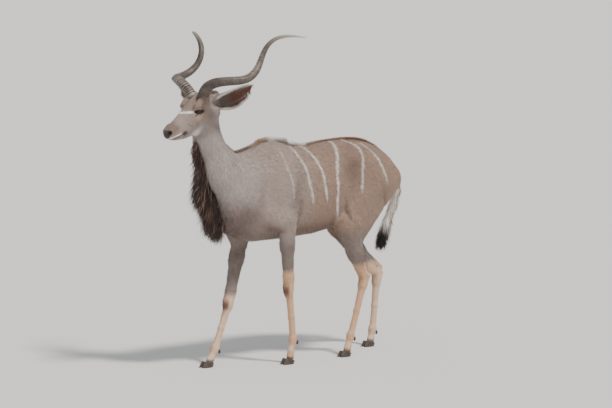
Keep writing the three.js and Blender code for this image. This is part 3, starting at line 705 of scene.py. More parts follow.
    @staticmethod
    def face(points: Array, distance: Array) -> Array:
        """Adds ears and lids to the head and cuts its nostrils, mouth and tear lines.

        Args:
            points: Places near the head.
            distance: Their signed distance to the plain head.

        Returns:
            The signed distance with the face's features.
        """
        along, out, up = HEAD.local(points)
        for ear in EARS:
            near = np.nonzero(np.linalg.norm(points - ear.foot, axis=1) < ear.length + 0.06)[0]
            distance[near] = blend(distance[near], ear.distance(points[near]), 0.022)
        for side in Side:
            centre = EYE.centre(side)
            near = np.nonzero(np.linalg.norm(points - centre, axis=1) < 0.08)[0]
            if len(near) == 0:
                continue
            offset = points[near] - centre
            gaze = EYE.gaze(side)
            lid = np.linalg.norm(offset, axis=1) - (EYE.radius + 0.0026)
            value = blend(distance[near], lid, 0.010)
            length, height = almond(along[near], up[near])
            x = length - 0.001
            y = height - 0.0004
            depth = offset @ gaze - 0.0195
            opening = (np.sqrt((x / 0.0195) ** 2 + (y / 0.0105) ** 2 + (depth / 0.015) ** 2) - 1) * 0.0100
            value = carve(value, opening, 0.003)
            arc = bell(np.hypot(length, height * 1.35), 0.0255, 0.0024)
            value += 0.0020 * arc * (height > 0)
            distance[near] = value
        local = np.stack([along, np.abs(out), up], 1)
        tear = line_distance(local, (0.181, 0.056, -0.024), (0.215, 0.050, -0.040))
        distance = distance + 0.0032 * bell(tear, 0, 0.0045)
        nostril = np.stack([along, np.abs(out), up + 0.3 * (along - NOSTRIL[0])], 1) - NOSTRIL
        hollow = (np.linalg.norm(nostril / (0.015, 0.0095, 0.0080), axis=1) - 1) * 0.0085
        distance = carve(distance, hollow, 0.006)
        split = up - MOUTH_FRONT[1] + MOUTH_SLOPE * (MOUTH_FRONT[0] - along)
        distance = distance + 0.0052 * bell(split, 0, 0.0034) * ease(along, 0.305, 0.320)
        groove = np.abs(out) + np.maximum(0.385 - along, 0)
        cleft = 0.0024 * bell(groove, 0, 0.003) * ease(up, -0.058, -0.050)
        distance = distance + cleft * ease(up, -0.004, -0.012)
        jaw = line_distance(local, (0.085, 0.062, -0.050), (0.185, 0.058, -0.082))
        return distance + 0.0022 * bell(jaw, 0, 0.012)


FLESH = Flesh()


# Meshes


@dataclass
class Row:
    """Turns body directions into the row's, and makes objects there."""

    shift: Array

    @classmethod
    def found(cls) -> "Row":
        """Finds where the row's origin lies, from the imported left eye.

        Returns:
            The row.
        """
        low, high = (np.array(corner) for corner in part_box("left_eye"))
        centre = EYE.centre(Side.LEFT)
        return cls((low + high) / 2 - np.array([-centre[0], -centre[1], centre[2]]))

    def place(self, points: Array) -> Array:
        """Body places as row places."""
        flipped = np.asarray(points, float) * (-1, -1, 1)
        return flipped + (self.shift[0], self.shift[1], 0)

    def direction(self, vectors: Array) -> Array:
        """Body directions as row directions."""
        return np.asarray(vectors, float) * (-1, -1, 1)


def make_object(
    name: str, points: Array, faces: Sequence[Array], material: bpy.types.Material
) -> bpy.types.Object:
    """A smooth-shaded object from row places and faces.

    Args:
        name: The object's name.
        points: Its corners in the row's metres.
        faces: Arrays of corner numbers, each array holding faces of one size.
        material: Its only material.

    Returns:
        The new object, linked to the scene.
    """
    mesh = bpy.data.meshes.new(name)
    mesh.vertices.add(len(points))
    mesh.vertices.foreach_set("co", np.asarray(points, np.float32).ravel())
    loops = np.concatenate([f.ravel() for f in faces]).astype(np.int32)
    sizes = np.concatenate([np.full(len(f), f.shape[1]) for f in faces])
    starts = np.concatenate([[0], np.cumsum(sizes)[:-1]]).astype(np.int32)
    mesh.loops.add(len(loops))
    mesh.loops.foreach_set("vertex_index", loops)
    mesh.polygons.add(len(starts))
    mesh.polygons.foreach_set("loop_start", starts)
    mesh.update(calc_edges=True)
    mesh.validate()
    mesh.polygons.foreach_set("use_smooth", np.ones(len(mesh.polygons), bool))
    mesh.materials.append(material)
    made = bpy.data.objects.new(name, mesh)
    bpy.context.scene.collection.objects.link(made)
    return made


def set_colours(target: bpy.types.Object, name: str, colours: Array) -> None:
    """Stores a linear colour at each corner of a mesh.

    Args:
        target: The object.
        name: What the colours are stored as.
        colours: One for each corner.
    """
    layer = target.data.color_attributes.new(name, "FLOAT_COLOR", "POINT")
    full = np.concatenate([colours, np.ones((len(colours), 1))], 1)
    layer.data.foreach_set("color", full.astype(np.float32).ravel())


def set_vectors(target: bpy.types.Object, name: str, vectors: Array) -> None:
    """Stores a vector at each corner of a mesh."""
    layer = target.data.attributes.new(name, "FLOAT_VECTOR", "POINT")
    layer.data.foreach_set("vector", np.asarray(vectors, np.float32).ravel())


def set_values(target: bpy.types.Object, name: str, values: Array) -> None:
    """Stores a number at each corner of a mesh."""
    layer = target.data.attributes.new(name, "FLOAT", "POINT")
    layer.data.foreach_set("value", np.asarray(values, np.float32))


def register(target: bpy.types.Object, slot: str, *nodes: str) -> None:
    """Tells the frame what a piece rides on, and hides the nodes that it stands for.

    Args:
        target: The piece.
        slot: Its finish slot; not used.
        nodes: The nodes that it stands for.
    """
    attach(target, "root")
    if nodes:
        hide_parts(*nodes)
    log.info("%s: %d faces", target.name, len(target.data.polygons))


def tube_faces(rows: int, ring: int) -> list[Array]:
    """Quads along a tube of rings, and a closed last and first ring.

    Args:
        rows: Number of rings.
        ring: Number of corners in each.

    Returns:
        The quads, the last ring's face and the first ring's.
    """
    i, j = np.meshgrid(np.arange(rows - 1), np.arange(ring), indexing="ij")
    here = i * ring + j
    beside = i * ring + (j + 1) % ring
    quads = np.stack([here, beside, beside + ring, here + ring], -1).reshape(-1, 4)
    last = (rows - 1) * ring + np.arange(ring)
    first = np.arange(ring)[::-1]
    return [quads, last[None], first[None]]


def graded(
    low: float, high: float, coarse: float, fine: float, zones: Iterable[tuple[float, float]]
) -> Array:
    """Grid lines that draw closer together inside zones.

    Args:
        low: The first line.
        high: Where the lines end.
        coarse: The step outside the zones.
        fine: The step inside them.
        zones: Stretches with the fine step.

    Returns:
        The lines' places.
    """
    lines = [low]
    while lines[-1] < high:
        inside = any(a <= lines[-1] <= b for a, b in zones)
        lines.append(lines[-1] + (fine if inside else coarse))
    return np.array(lines)


class SurfaceNet:
    """The zero surface of a signed distance over a grid, as quads."""

    CORNERS = [(i, j, k) for i in (0, 1) for j in (0, 1) for k in (0, 1)]
    SKIP = 3
    PROBE = 0.0012
    CHUNK = 400_000

    def __init__(self, form: Callable[[Array], Array], lines: Sequence[Array]) -> None:
        """Samples the form over the grid lines and joins up its surface.

        Args:
            form: The signed distance.
            lines: The grid lines' places on each axis.
        """
        self.form = form
        self.lines = lines
        self.values = self.sample()
        self.points, self.faces = self.join()

    def sample(self) -> Array:
        """The form at every grid point, worked out closely only near its surface.

        Returns:
            A signed distance for each grid point.
        """
        near = [np.append(axis[:: self.SKIP], axis[-1]) for axis in self.lines]
        grid = np.stack(np.meshgrid(*near, indexing="ij"), -1)
        rough = self.form(grid.reshape(-1, 3)).reshape(grid.shape[:3])
        nearest = [np.abs(axis[:, None] - few[None]).argmin(1) for axis, few in zip(self.lines, near)]
        values = rough[np.ix_(*nearest)]
        step = max(np.diff(axis).max() for axis in self.lines)
        band = np.nonzero(np.abs(values) < step * (self.SKIP / 2 + 1.2) * 1.75)
        places = np.stack([axis[i] for axis, i in zip(self.lines, band)], 1)
        for chunk in np.array_split(np.arange(len(places)), max(1, len(places) // self.CHUNK)):
            values[tuple(b[chunk] for b in band)] = self.form(places[chunk])
        return values

    def join(self) -> tuple[Array, Array]:
        """One point in each crossed cell, and a quad round each crossed edge.

        Returns:
            The points and the quads.
        """
        values = self.values
        inside = values < 0
        counts = np.array(values.shape)
        corner = [inside[tuple(slice(c, n - 1 + c) for c, n in zip(step, counts))] for step in self.CORNERS]
        crossed = np.any(corner, axis=0) & ~np.all(corner, axis=0)
        cells = np.stack(np.nonzero(crossed), 1)
        number = np.full(crossed.shape, -1, np.int32)
        number[tuple(cells.T)] = np.arange(len(cells))
        ends = [cells + step for step in self.CORNERS]
        at = np.stack([values[tuple(end.T)] for end in ends], 1)
        spots = [np.stack([axis[end[:, a]] for a, axis in enumerate(self.lines)], 1) for end in ends]
        place = np.stack(spots, 1)
        total = np.zeros((len(cells), 3))
        hits = np.zeros(len(cells))
        for a in range(8):
            for bit in (1, 2, 4):
                b = a | bit
                if b == a:
                    continue
                rows = np.nonzero((at[:, a] < 0) != (at[:, b] < 0))[0]
                t = at[rows, a] / (at[rows, a] - at[rows, b])
                total[rows] += place[rows, a] + t[:, None] * (place[rows, b] - place[rows, a])
                hits[rows] += 1
        points = total / hits[:, None]
        return points, np.concatenate([self.quads(inside, number, axis) for axis in range(3)])

    @staticmethod
    def quads(inside: Array, number: Array, axis: int) -> Array:
        """The quads round the crossed grid edges that run along one axis.

        Args:
            inside: Which grid points lie inside.
            number: Each cell's point number.
            axis: The axis of the edges.

        Returns:
            Quads that face outward.
        """
        others = [a for a in range(3) if a != axis]
        here = [slice(1, -1)] * 3
        there = [slice(1, -1)] * 3
        here[axis], there[axis] = slice(0, -1), slice(1, None)
        start = inside[tuple(here)]
        edges = np.stack(np.nonzero(start != inside[tuple(there)]), 1)
        flip = start[tuple(edges.T)]
        edges[:, others] += 1
        ring = []
        for back in ((1, 1), (0, 1), (0, 0), (1, 0)):
            cell = edges.copy()
            cell[:, others[0]] -= back[0]
            cell[:, others[1]] -= back[1]
            ring.append(number[tuple(cell.T)])
        quads = np.stack(ring, 1)
        if axis == 1:
            flip = ~flip
        quads[~flip] = quads[~flip][:, ::-1]
        return quads

    def slope(self) -> Array:
        """How much the form changes across each point, along each axis."""
        moves = np.eye(3) * self.PROBE
        return np.stack([self.form(self.points + move) - self.form(self.points - move) for move in moves], 1)

    def settle(self, rounds: int, reach: float) -> Array:
        """Moves the points onto the surface.

        Args:
            rounds: How many times the points move.
            reach: The longest move.

        Returns:
            The surface's outward direction at each point.
        """
        for _ in range(rounds):
            slope = self.slope() / (2 * self.PROBE)
            length = np.maximum(np.linalg.norm(slope, axis=1), 0.3)
            move = np.clip(self.form(self.points) / length, -reach, reach)
            self.points = self.points - (move / length)[:, None] * slope
        return unit(self.slope())


# Markings


def srgb(red: int, green: int, blue: int) -> Array:
    """A screen colour as the linear one that shaders use."""
    c = np.array([red, green, blue]) / 255
    return np.where(c <= 0.04045, c / 12.92, ((c + 0.055) / 1.055) ** 2.4)


def tint(red: int, green: int, blue: int) -> Array:
    """A dataclass field that holds a screen colour as the linear one."""
    return field(default_factory=lambda: srgb(red, green, blue))


@dataclass(frozen=True)
class Stripe:
    """A pale stripe down the flank: where it starts, bends and ends."""

    top: tuple[float, float]  # forward, up
    middle: tuple[float, float]
    bottom: tuple[float, float]
    width: float = 0.0085
    strength: float = 1.0

    def mask(self, forward: Array, up: Array) -> Array:
        """How much of the stripe shows at each place.

        Args:
            forward: How far forward each place lies.
            up: How high it lies.

        Returns:
            1 on the stripe, 0 off it.
        """
        (f0, u0), (f1, u1), (f2, u2) = self.top, self.middle, self.bottom
        a = f0 * (up - u1) * (up - u2) / ((u0 - u1) * (u0 - u2))
        b = f1 * (up - u0) * (up - u2) / ((u1 - u0) * (u1 - u2))
        c = f2 * (up - u0) * (up - u1) / ((u2 - u0) * (u2 - u1))
        wander = 0.0030 * np.sin(up * 31 + f0 * 60)
        taper = ease(up, u2 - 0.01, u2 + 0.06) * ease(up, u0 + 0.02, u0 - 0.01)
        width = self.width * (0.75 + 0.25 * np.sin(up * 33 + f1 * 90) ** 2) * (0.55 + 0.45 * taper)
        return self.strength * ease(np.abs(forward - a - b - c - wander), width * 1.35, width * 0.6) * taper


def almond(along: Array, up: Array, slant: float = math.radians(25)) -> tuple[Array, Array]:
    """How far places on the head lie from the eye, along its slanting almond and across it.

    Args:
        along: How far along the head each place lies.
        up: How far up.
        slant: The almond's slope.

    Returns:
        Distances along the almond and across it.
    """
    ahead, above = along - EYE.along, up - EYE.up
    cosine, sine = math.cos(slant), math.sin(slant)
    return ahead * cosine + above * sine, above * cosine - ahead * sine


def on_tail(points: Array) -> Array:
    """1 on the free part of the tail, 0 away from it.

    Args:
        points: Places, one to a row, in body directions.

    Returns:
        The mask.
    """
    mask = np.zeros(len(points))
    near = np.nonzero((points[:, 0] < -0.68) & (points[:, 2] > 0.60))[0]
    if len(near):
        close = points[near]
        reach = np.min([bar.distance(close) for bar in FLESH.tail_bars], axis=0)
        mask[near] = ease(reach, 0.014, 0.005) * ease(FLESH.trunk.distance(close), 0.003, 0.014)
    return mask


def on_head(points: Array) -> Array:
    """1 on the head's skin, 0 behind the jaw and under the throat."""
    along, _, up = HEAD.local(points)
    return ease(along, -0.02, 0.05) * ease(up, -0.195, -0.160) * (points[:, 0] > 0.6) * (points[:, 2] > 1.38)


@dataclass(frozen=True)
class Markings:
    """The colours of the whole coat, by place."""

    neck: Array = tint(166, 152, 146)
    shoulder: Array = tint(160, 143, 134)
    flank: Array = tint(150, 125, 109)
    # Dark belly hair, also used as painted shade on the underside.
    belly: Array = tint(98, 76, 64)
    upper_leg: Array = tint(134, 119, 112)
    tan_leg: Array = tint(208, 166, 132)
    pale_leg: Array = tint(222, 200, 178)
    knee_patch: Array = tint(92, 60, 46)
    face: Array = tint(147, 131, 124)
    forehead: Array = tint(140, 120, 109)
    tan_ring: Array = tint(166, 140, 119)
    white: Array = tint(232, 226, 218)
    stripe: Array = tint(222, 214, 206)
    black: Array = tint(30, 24, 22)
    dark: Array = tint(66, 50, 42)
    ear_inside: Array = tint(112, 70, 58)
    tail_brown: Array = tint(122, 88, 66)
    back_brown: Array = tint(134, 98, 74)
    rump_tan: Array = tint(160, 126, 100)
    # Dark chest hair mixed with painted shadow.
    chest: Array = tint(96, 78, 69)
    croup_line: Array = tint(122, 92, 72)
    withers_line: Array = tint(196, 150, 118)
    crest_white: Array = tint(244, 240, 234)
    nape_line: Array = tint(112, 90, 78)
    ear_back: Array = tint(138, 120, 108)
    ear_root: Array = tint(112, 98, 90)
    ear_ridge: Array = tint(170, 150, 138)
    jaw: Array = tint(158, 144, 137)
    nose_bridge: Array = tint(112, 88, 74)
    nose_pad: Array = tint(58, 50, 48)
    chin: Array = tint(150, 126, 116)
    chin_pale: Array = tint(208, 196, 186)
    fringe_dark: Array = tint(38, 29, 27)
    fringe_red: Array = tint(104, 68, 50)
    fringe_pale: Array = tint(160, 136, 118)
    deep_fold: float = 0.012
    fold_shade: float = 0.42
    stripes: tuple[Stripe, ...] = (
        Stripe((0.318, 1.340), (0.274, 1.164), (0.250, 1.000), 0.0055, 0.55),
        Stripe((0.180, 1.362), (0.155, 1.200), (0.120, 0.985), 0.0075, 0.85),
        Stripe((0.075, 1.360), (0.041, 1.200), (0.018, 0.990), 0.0080, 0.95),
        Stripe((-0.175, 1.380), (-0.078, 1.170), (-0.118, 0.890), 0.0095, 1.0),
        Stripe((-0.268, 1.385), (-0.296, 1.200), (-0.272, 1.035), 0.0080, 0.9),
        Stripe((-0.375, 1.345), (-0.445, 1.215), (-0.490, 1.080), 0.0080, 0.85),
    )

    def colour(self, points: Array, outward: Array) -> Array:
        """The coat's colour at each place.

        Args:
            points: Places on the skin, in body directions.
            outward: The skin's outward direction at each.

        Returns:
            Linear colours, one to a row.
        """
        forward, left, up = points.T
        aside = np.abs(left)
        result = np.tile(self.flank, (len(points), 1))

        def lay(colour: Array, mask: Array) -> None:
            """Lays a colour over what is there, as strongly as the mask says."""
            nonlocal result
            result = result + (colour - result) * np.clip(mask, 0, 1)[:, None]

        lay(self.shoulder, ease(forward, 0.02, 0.30))
        lay(self.neck, ease(forward, 0.42, 0.62))
        lay(self.back_brown, bell(up, 1.36, 0.06) * ease(forward, -0.15, -0.40) * ease(aside, 0.10, 0.0))
        lay(self.rump_tan, ease(forward, -0.45, -0.68) * ease(up, 0.85, 1.0) * 0.6)
        # Dark belly hair with painted shade: skin that faces down is darkened as if in shadow.
        under = ease(outward[:, 2], -0.35, -0.85) * ease(up, 0.98, 0.84)
        lay(self.belly, under * ease(up, 0.66, 0.74) * 0.75)
        # Dark chest hair with painted shadow over the front of the chest and brisket.
        lay(self.chest, ease(up, 1.12, 0.92) * ease(forward, 0.44, 0.62) * ease(up, 0.62, 0.78) * 0.75)
        self.legs(lay, points, outward)
        on_trunk = ease(up, 0.84, 0.90) * ease(aside, 0.0, 0.02)
        for stripe in self.stripes:
            lay(self.stripe, stripe.mask(forward, up) * on_trunk)
        self.mane_line(lay, points)
        self.tail(lay, points, outward)
        self.head(lay, points, outward)
        shadow = np.clip(Flesh.folds(points) / self.deep_fold, 0, 1) * self.fold_shade
        return result * (1 - shadow)[:, None]

    def legs(self, lay: Callable[[Array, Array], None], points: Array, outward: Array) -> None:
        """Colours the legs, from grey above through tan to pale pasterns.

        Args:
            lay: Lays a colour over what is there.
            points: Places on the skin.
            outward: The skin's outward direction at each.
        """
        forward, left, up = points.T
        for leg in LEGS:
            knee, fetlock = leg.knee[2], leg.fetlock[2]
            ahead = np.abs(forward - leg.knee[0])
            mine = ease(left * leg.side.value, 0.0, 0.03) * ease(ahead, 0.34, 0.28)
            if leg.fore:
                mine = mine * (forward > 0.05)
                change = knee + 0.115 if leg.side is Side.LEFT else knee + 0.045
            else:
                mine = mine * (forward < -0.02)
                change = knee + 0.10
            lay(self.upper_leg, mine * ease(up, 0.86, 0.74))
            tan = mine * ease(up, change + 0.03, change - 0.02)
            lay(self.tan_leg, tan)
            inner = ease(-outward[:, 1] * leg.side.value, -0.1, 0.6)
            behind = ease(-outward[:, 0], 0.2, 0.8)
            lay(self.pale_leg, tan * np.maximum(inner * 0.5, behind * 0.8))
            front = ease(outward[:, 0], 0.25, 0.75)
            patch = bell(up, knee - 0.012, 0.042) * front * ease(ahead, 0.09, 0.06)
            if leg.fore:
                lay(self.knee_patch, mine * patch * 0.9)
            else:
                lay(self.knee_patch, mine * bell(up, knee + 0.005, 0.05) * front * 0.35)
            lay(self.pale_leg, mine * bell(up, fetlock - 0.045, 0.020) * ease(outward[:, 0], -0.2, 0.5) * 0.9)
            lay(self.dark, mine * bell(up, fetlock - 0.006, 0.013) * behind * 0.7)
            lay(self.dark, mine * ease(up, 0.058, 0.040) * 0.8)

    def mane_line(self, lay: Callable[[Array, Array], None], points: Array) -> None:
        """Colours the strip along the spine that the crest grows from.

        Args:
            lay: Lays a colour over what is there.
            points: Places on the skin.
        """
        forward, left, up = points.T
        strip = ease(np.abs(left), 0.020, 0.008) * ease(up, 1.15, 1.2)
        lay(self.croup_line, strip * ease(forward, -0.05, -0.15) * 0.9)
        lay(self.withers_line, strip * bell(forward, 0.39, 0.045) * 0.8)
        pale = ease(np.abs(left), 0.023, 0.012) * ease(up, 1.15, 1.2)
        lay(self.crest_white, pale * ease(forward, 0.36, 0.31) * ease(forward, 0.00, 0.06))
        lay(self.nape_line, strip * ease(forward, 0.44, 0.50) * 0.8)
        throat = ease(np.abs(left), 0.040, 0.015) * ease(forward, 0.66, 0.74)
        lay(self.dark, throat * ease(up, 1.42, 1.38) * ease(up, 0.84, 0.92) * 0.85)

    def tail(self, lay: Callable[[Array, Array], None], points: Array, outward: Array) -> None:
        """Colours the tail brown above and white below.

        Args:
            lay: Lays a colour over what is there.
            points: Places on the skin.
            outward: The skin's outward direction at each.
        """
        mine = on_tail(points)
        forward, left, up = points.T
        lay(self.tail_brown, mine)
        lay(self.white, mine * ease(outward[:, 0], -0.3, 0.2) * ease(up, 1.12, 1.05))
        lay(self.black, mine * ease(up, 0.84, 0.79))
        rump = ease(forward, -0.66, -0.71) * ease(up, 0.95, 1.00) * ease(np.abs(left), 0.07, 0.03)
        lay(self.white, rump * ease(up, 1.12, 1.06) * (1 - mine) * 0.8)

    def ears(self, lay: Callable[[Array, Array], None], points: Array) -> Array:
        """Colours the ears and the white at their feet.

        Args:
            lay: Lays a colour over what is there.
            points: Places on the skin, in body directions.

        Returns:
            1 on the ears, 0 away from them.
        """
        on_ear = np.zeros(len(points))
        for ear in EARS:
            t, turn, depth = ear.local(points)
            away = ear.mask(points)
            on_ear = np.maximum(on_ear, away)
            curl = ear.section(t)[1]
            inside = ease(depth, 0.0035, 0.0055)
            lay(self.ear_back, away)
            lay(self.ear_inside, away * inside * ease(t, 0.22, 0.5))
            lay(self.ear_root, away * inside * ease(t, 0.50, 0.20) * 0.8)
            lay(self.ear_ridge, away * inside * bell(turn, curl * 0.50, 0.10) * 0.35)
            lay(self.white, away * ease(turn, curl - 0.16, curl - 0.04) * 0.85)
            rim = away * bell(t, 0.60, 0.06) * ease(turn, curl - 0.30, curl - 0.12)
            lay(self.white, rim * (points[:, 2] < 1.66))
            foot = np.linalg.norm(points - HEAD.at(0.060, ear.side.value * 0.070, 0.010), axis=1)
            lay(self.white, ease(foot, 0.024, 0.012) * 0.9)
        return on_ear

    def head(self, lay: Callable[[Array, Array], None], points: Array, outward: Array) -> None:
        """Colours the face and ears.

        Args:
            lay: Lays a colour over what is there.
            points: Places on the skin.
            outward: The skin's outward direction at each.
        """
        along, out, up = HEAD.local(points)
        aside = np.abs(out)
        mine = on_head(points) * (1 - self.ears(lay, points))
        lay(self.face, mine)
        lay(self.forehead, mine * ease(along, 0.235, 0.205) * ease(up, -0.02, 0.01))
        cheek = ease(aside, 0.03, 0.05)
        ring = np.hypot((along - 0.150) / 1.25, up + 0.030)
        lay(self.tan_ring, mine * cheek * bell(ring, 0.034, 0.016) * 0.8)
        lay(self.neck, mine * ease(along, 0.12, 0.05) * ease(up, -0.01, -0.05) * 0.9)
        lay(self.jaw, mine * ease(up, -0.075, -0.115) * ease(along, 0.27, 0.20) * 0.8)
        local = np.stack([along, aside, up], 1)
        bar = np.minimum(
            line_distance(local, (0.252, 0.0, 0.030), (0.232, 0.030, 0.022)),
            line_distance(local, (0.232, 0.030, 0.022), (0.192, 0.052, -0.004)),
        )
        lay(self.white, mine * ease(bar, 0.0095, 0.0050))
        length, height = almond(along, up)
        socket = np.hypot((length - 0.004) / 2.35, height)
        lay(self.black, mine * cheek * ease(socket, 0.0165, 0.0125))
        tear = line_distance(local, (0.176, 0.058, -0.022), (0.200, 0.053, -0.031))
        lay(self.black, mine * ease(tear, 0.0065, 0.003) * 0.8)
        for spot in ((0.262, 0.047, -0.046), (0.250, 0.048, -0.062)):
            lay(self.dark, mine * ease(np.linalg.norm(local - spot, axis=1), 0.009, 0.004) * 0.5)
        self.muzzle(lay, local, mine)
        under = ease(-outward @ HEAD.crown, 0.1, 0.6) * bell(along, 0.225, 0.045)
        lay(self.white, mine * (under * ease(up, -0.09, -0.12)) * 0.9)

    def muzzle(self, lay: Callable[[Array, Array], None], local: Array, mine: Array) -> None:
        """Colours the nose, lips and chin, with painted shadow at the mouth corners.

        Args:
            lay: Lays a colour over what is there.
            local: How far along, aside and up each place lies on the head.
            mine: 1 on the head's skin, 0 away from it.
        """
        along, aside, up = local.T
        lay(self.nose_bridge, mine * ease(along, 0.30, 0.36) * ease(up, -0.05, -0.01) * 0.7)
        mouth = MOUTH_FRONT[1] - MOUTH_SLOPE * (MOUTH_FRONT[0] - along)
        width = 0.018 + 0.014 * ease(up, -0.045, -0.015)
        pad = ease(along, 0.394, 0.402) * ease(aside, width + 0.004, width - 0.002)
        pad = pad * ease(up, mouth + 0.008, mouth + 0.014)
        nostril = ease(np.linalg.norm((local - NOSTRIL) / (1.5, 1.0, 1.0), axis=1), 0.016, 0.011)
        lip = ease(along, 0.330, 0.350) * ease(np.abs(up - mouth - 0.0085), 0.0085, 0.0060)
        lay(self.white, mine * lip * ease(aside, 0.004, 0.012))
        lay(self.nose_pad, mine * pad)
        lay(self.black, mine * nostril)
        chin = ease(along, 0.29, 0.33) * ease(up - mouth, -0.003, -0.008)
        lay(self.chin, mine * chin)
        lay(self.chin_pale, mine * chin * ease(up - mouth, -0.016, -0.026) * ease(along, 0.32, 0.36))
        # Dark lip corner with painted shadow round the corner of the mouth.
        corner = np.hypot(along - 0.312, (up - mouth) * 1.2)
        lay(self.dark, mine * ease(corner, 0.026, 0.012) * 0.85)
        lay(self.black, mine * ease(np.abs(up - mouth), 0.0040, 0.0018) * ease(along, 0.308, 0.318))


MARKINGS = Markings()


# Shading


class Socket:
    """A shader socket that takes part in arithmetic."""

    def __init__(self, graph: "Graph", link: bpy.types.NodeSocket) -> None:
        """Wraps an output of a node in a graph."""
        self.graph = graph
        self.link = link

    def __add__(self, other: "Socket | float") -> "Socket":
        """The sum of two values."""
        return self.graph.math("ADD", self, other)

    def __radd__(self, other: float) -> "Socket":
        """The sum of a number and this value."""
        return self.graph.math("ADD", other, self)

    def __sub__(self, other: "Socket | float") -> "Socket":
        """This value less another."""
        return self.graph.math("SUBTRACT", self, other)

    def __rsub__(self, other: float) -> "Socket":
        """A number less this value."""
        return self.graph.math("SUBTRACT", other, self)

    def __mul__(self, other: "Socket | float") -> "Socket":
        """The product of two values."""
        return self.graph.math("MULTIPLY", self, other)

    def __rmul__(self, other: float) -> "Socket":
        """The product of a number and this value."""
        return self.graph.math("MULTIPLY", other, self)


class Graph:
    """A material's nodes, ending in one surface shader."""

    def __init__(self, name: str) -> None:
        """Starts a material with an empty graph.

        Args:
            name: The material's name.
        """
        self.material = bpy.data.materials.new(name)
        self.material.use_nodes = True
        self.tree = self.material.node_tree
        self.tree.nodes.clear()

    def node(
        self, kind: str, settings: dict | None = None, inputs: dict | None = None, output: int | str = 0
    ) -> Socket:
        """Adds a node.

        Args:
            kind: The node's type.
            settings: Properties that are set first. A "stops" entry fills a colour ramp.
            inputs: Values or sockets for the node's inputs, by name or number.
            output: The output that is returned.

        Returns:
            The chosen output.
        """
        made = self.tree.nodes.new(kind)
        for key, value in (settings or {}).items():
            if key == "stops":
                self.fill_ramp(made.color_ramp, value)
            else:
                setattr(made, key, value)
        for key, value in (inputs or {}).items():
            if isinstance(value, Socket):
                self.tree.links.new(value.link, made.inputs[key])
            else:
                made.inputs[key].default_value = value
        return Socket(self, made.outputs[output] if made.outputs else None)

    @staticmethod
    def fill_ramp(ramp: bpy.types.ColorRamp, stops: Sequence[tuple[float, Sequence[float]]]) -> None:
        """Sets the stops of a colour ramp.

        Args:
            ramp: The ramp.
            stops: Places and linear colours.
        """
        while len(ramp.elements) < len(stops):
            ramp.elements.new(0.5)
        for element, (place, colour) in zip(ramp.elements, stops):
            element.position = place
            element.color = (*colour, 1)

    def math(self, operation: str, a: Socket | float, b: Socket | float = 0.0) -> Socket:
        """One step of arithmetic on values."""
        return self.node("ShaderNodeMath", {"operation": operation}, {0: a, 1: b})

    def clamp(self, value: Socket) -> Socket:
        """A value held between 0 and 1."""
        return self.node("ShaderNodeClamp", None, {0: value})

    def mix(self, factor: Socket | float, a: Socket | Array, b: Socket | Array, way: str = "MIX") -> Socket:
        """Two colours mixed.

        Args:
            factor: The second colour's share.
            a: The first colour.
            b: The second colour.
            way: How they mix.

        Returns:
            The mixed colour.
        """
        rgba = [c if isinstance(c, Socket) else (*c, 1) for c in (a, b)]
        settings = {"data_type": "RGBA", "blend_type": way, "clamp_factor": True}
        return self.node("ShaderNodeMix", settings, {0: factor, 6: rgba[0], 7: rgba[1]}, output=2)

    def attribute(self, name: str, output: str = "Color") -> Socket:
        """What a mesh stores under a name."""
        return self.node("ShaderNodeAttribute", {"attribute_name": name}, None, output)

    def noise(self, place: Socket, scale: float, detail: float) -> Socket:
        """Soft random values over a place."""
        inputs = {"Vector": place, "Scale": scale, "Detail": detail}
        return self.node("ShaderNodeTexNoise", None, inputs, "Fac")

    def bump(self, height: Socket, strength: float, distance: float) -> Socket:
        """A surface direction tilted by a height."""
        inputs = {"Height": height, "Strength": strength, "Distance": distance}
        return self.node("ShaderNodeBump", None, inputs)

    def surface(self, settings: dict) -> bpy.types.Material:
        """Ends the graph in a surface shader and returns the material.

        Args:
            settings: Values or sockets for the shader's inputs.

        Returns:
            The material.
        """
        shader = self.node("ShaderNodeBsdfPrincipled", None, settings)
        self.node("ShaderNodeOutputMaterial", None, {"Surface": shader})
        return self.material


@dataclass(frozen=True)
class HideFinish:
    """Short dull fur: colours from the markings, broken up by fine hair."""

    roughness: float = 0.72
    variation: float = 0.34
    bump_depth: float = 0.0016

    def material(self) -> bpy.types.Material:
        """Builds the finish.

        Returns:
            The material.
        """
        graph = Graph("short coat")
        place = graph.attribute("root", "Vector")
        hide = graph.attribute("hide")
        squeeze = {0: place, 1: (1.0, 2.2, 0.55)}
        squash = graph.node("ShaderNodeVectorMath", {"operation": "MULTIPLY"}, squeeze)
        strands = graph.noise(squash, 420, 2)
        cloud = graph.noise(place, 13, 4)
        light = 1 - self.variation / 2 + strands * (self.variation * 0.7) + cloud * (self.variation * 0.3)
        tone = graph.node("ShaderNodeCombineColor", None, {0: light, 1: light, 2: light})
        colour = graph.mix(1.0, hide, tone, "MULTIPLY")
        normal = graph.bump(strands, 0.55, self.bump_depth)
        return graph.surface(
            {
                "Base Color": colour,
                "Roughness": self.roughness,
                "Specular IOR Level": 0.25,
                "Sheen Weight": 0.25,
                "Sheen Roughness": 0.5,
                "Normal": normal,
            }
        )


@dataclass(frozen=True)
class LockFinish:
    """Tufts and locks of hair, each with its own tone."""

    name: str
    roughness: float = 0.62

    def material(self) -> bpy.types.Material:
        """Builds the finish.

        Returns:
            The material.
        """
        graph = Graph(self.name)
        hide = graph.attribute("hide")
        return graph.surface(
            {
                "Base Color": hide,
                "Roughness": self.roughness,
                "Specular IOR Level": 0.3,
                "Sheen Weight": 0.15,
            }
        )


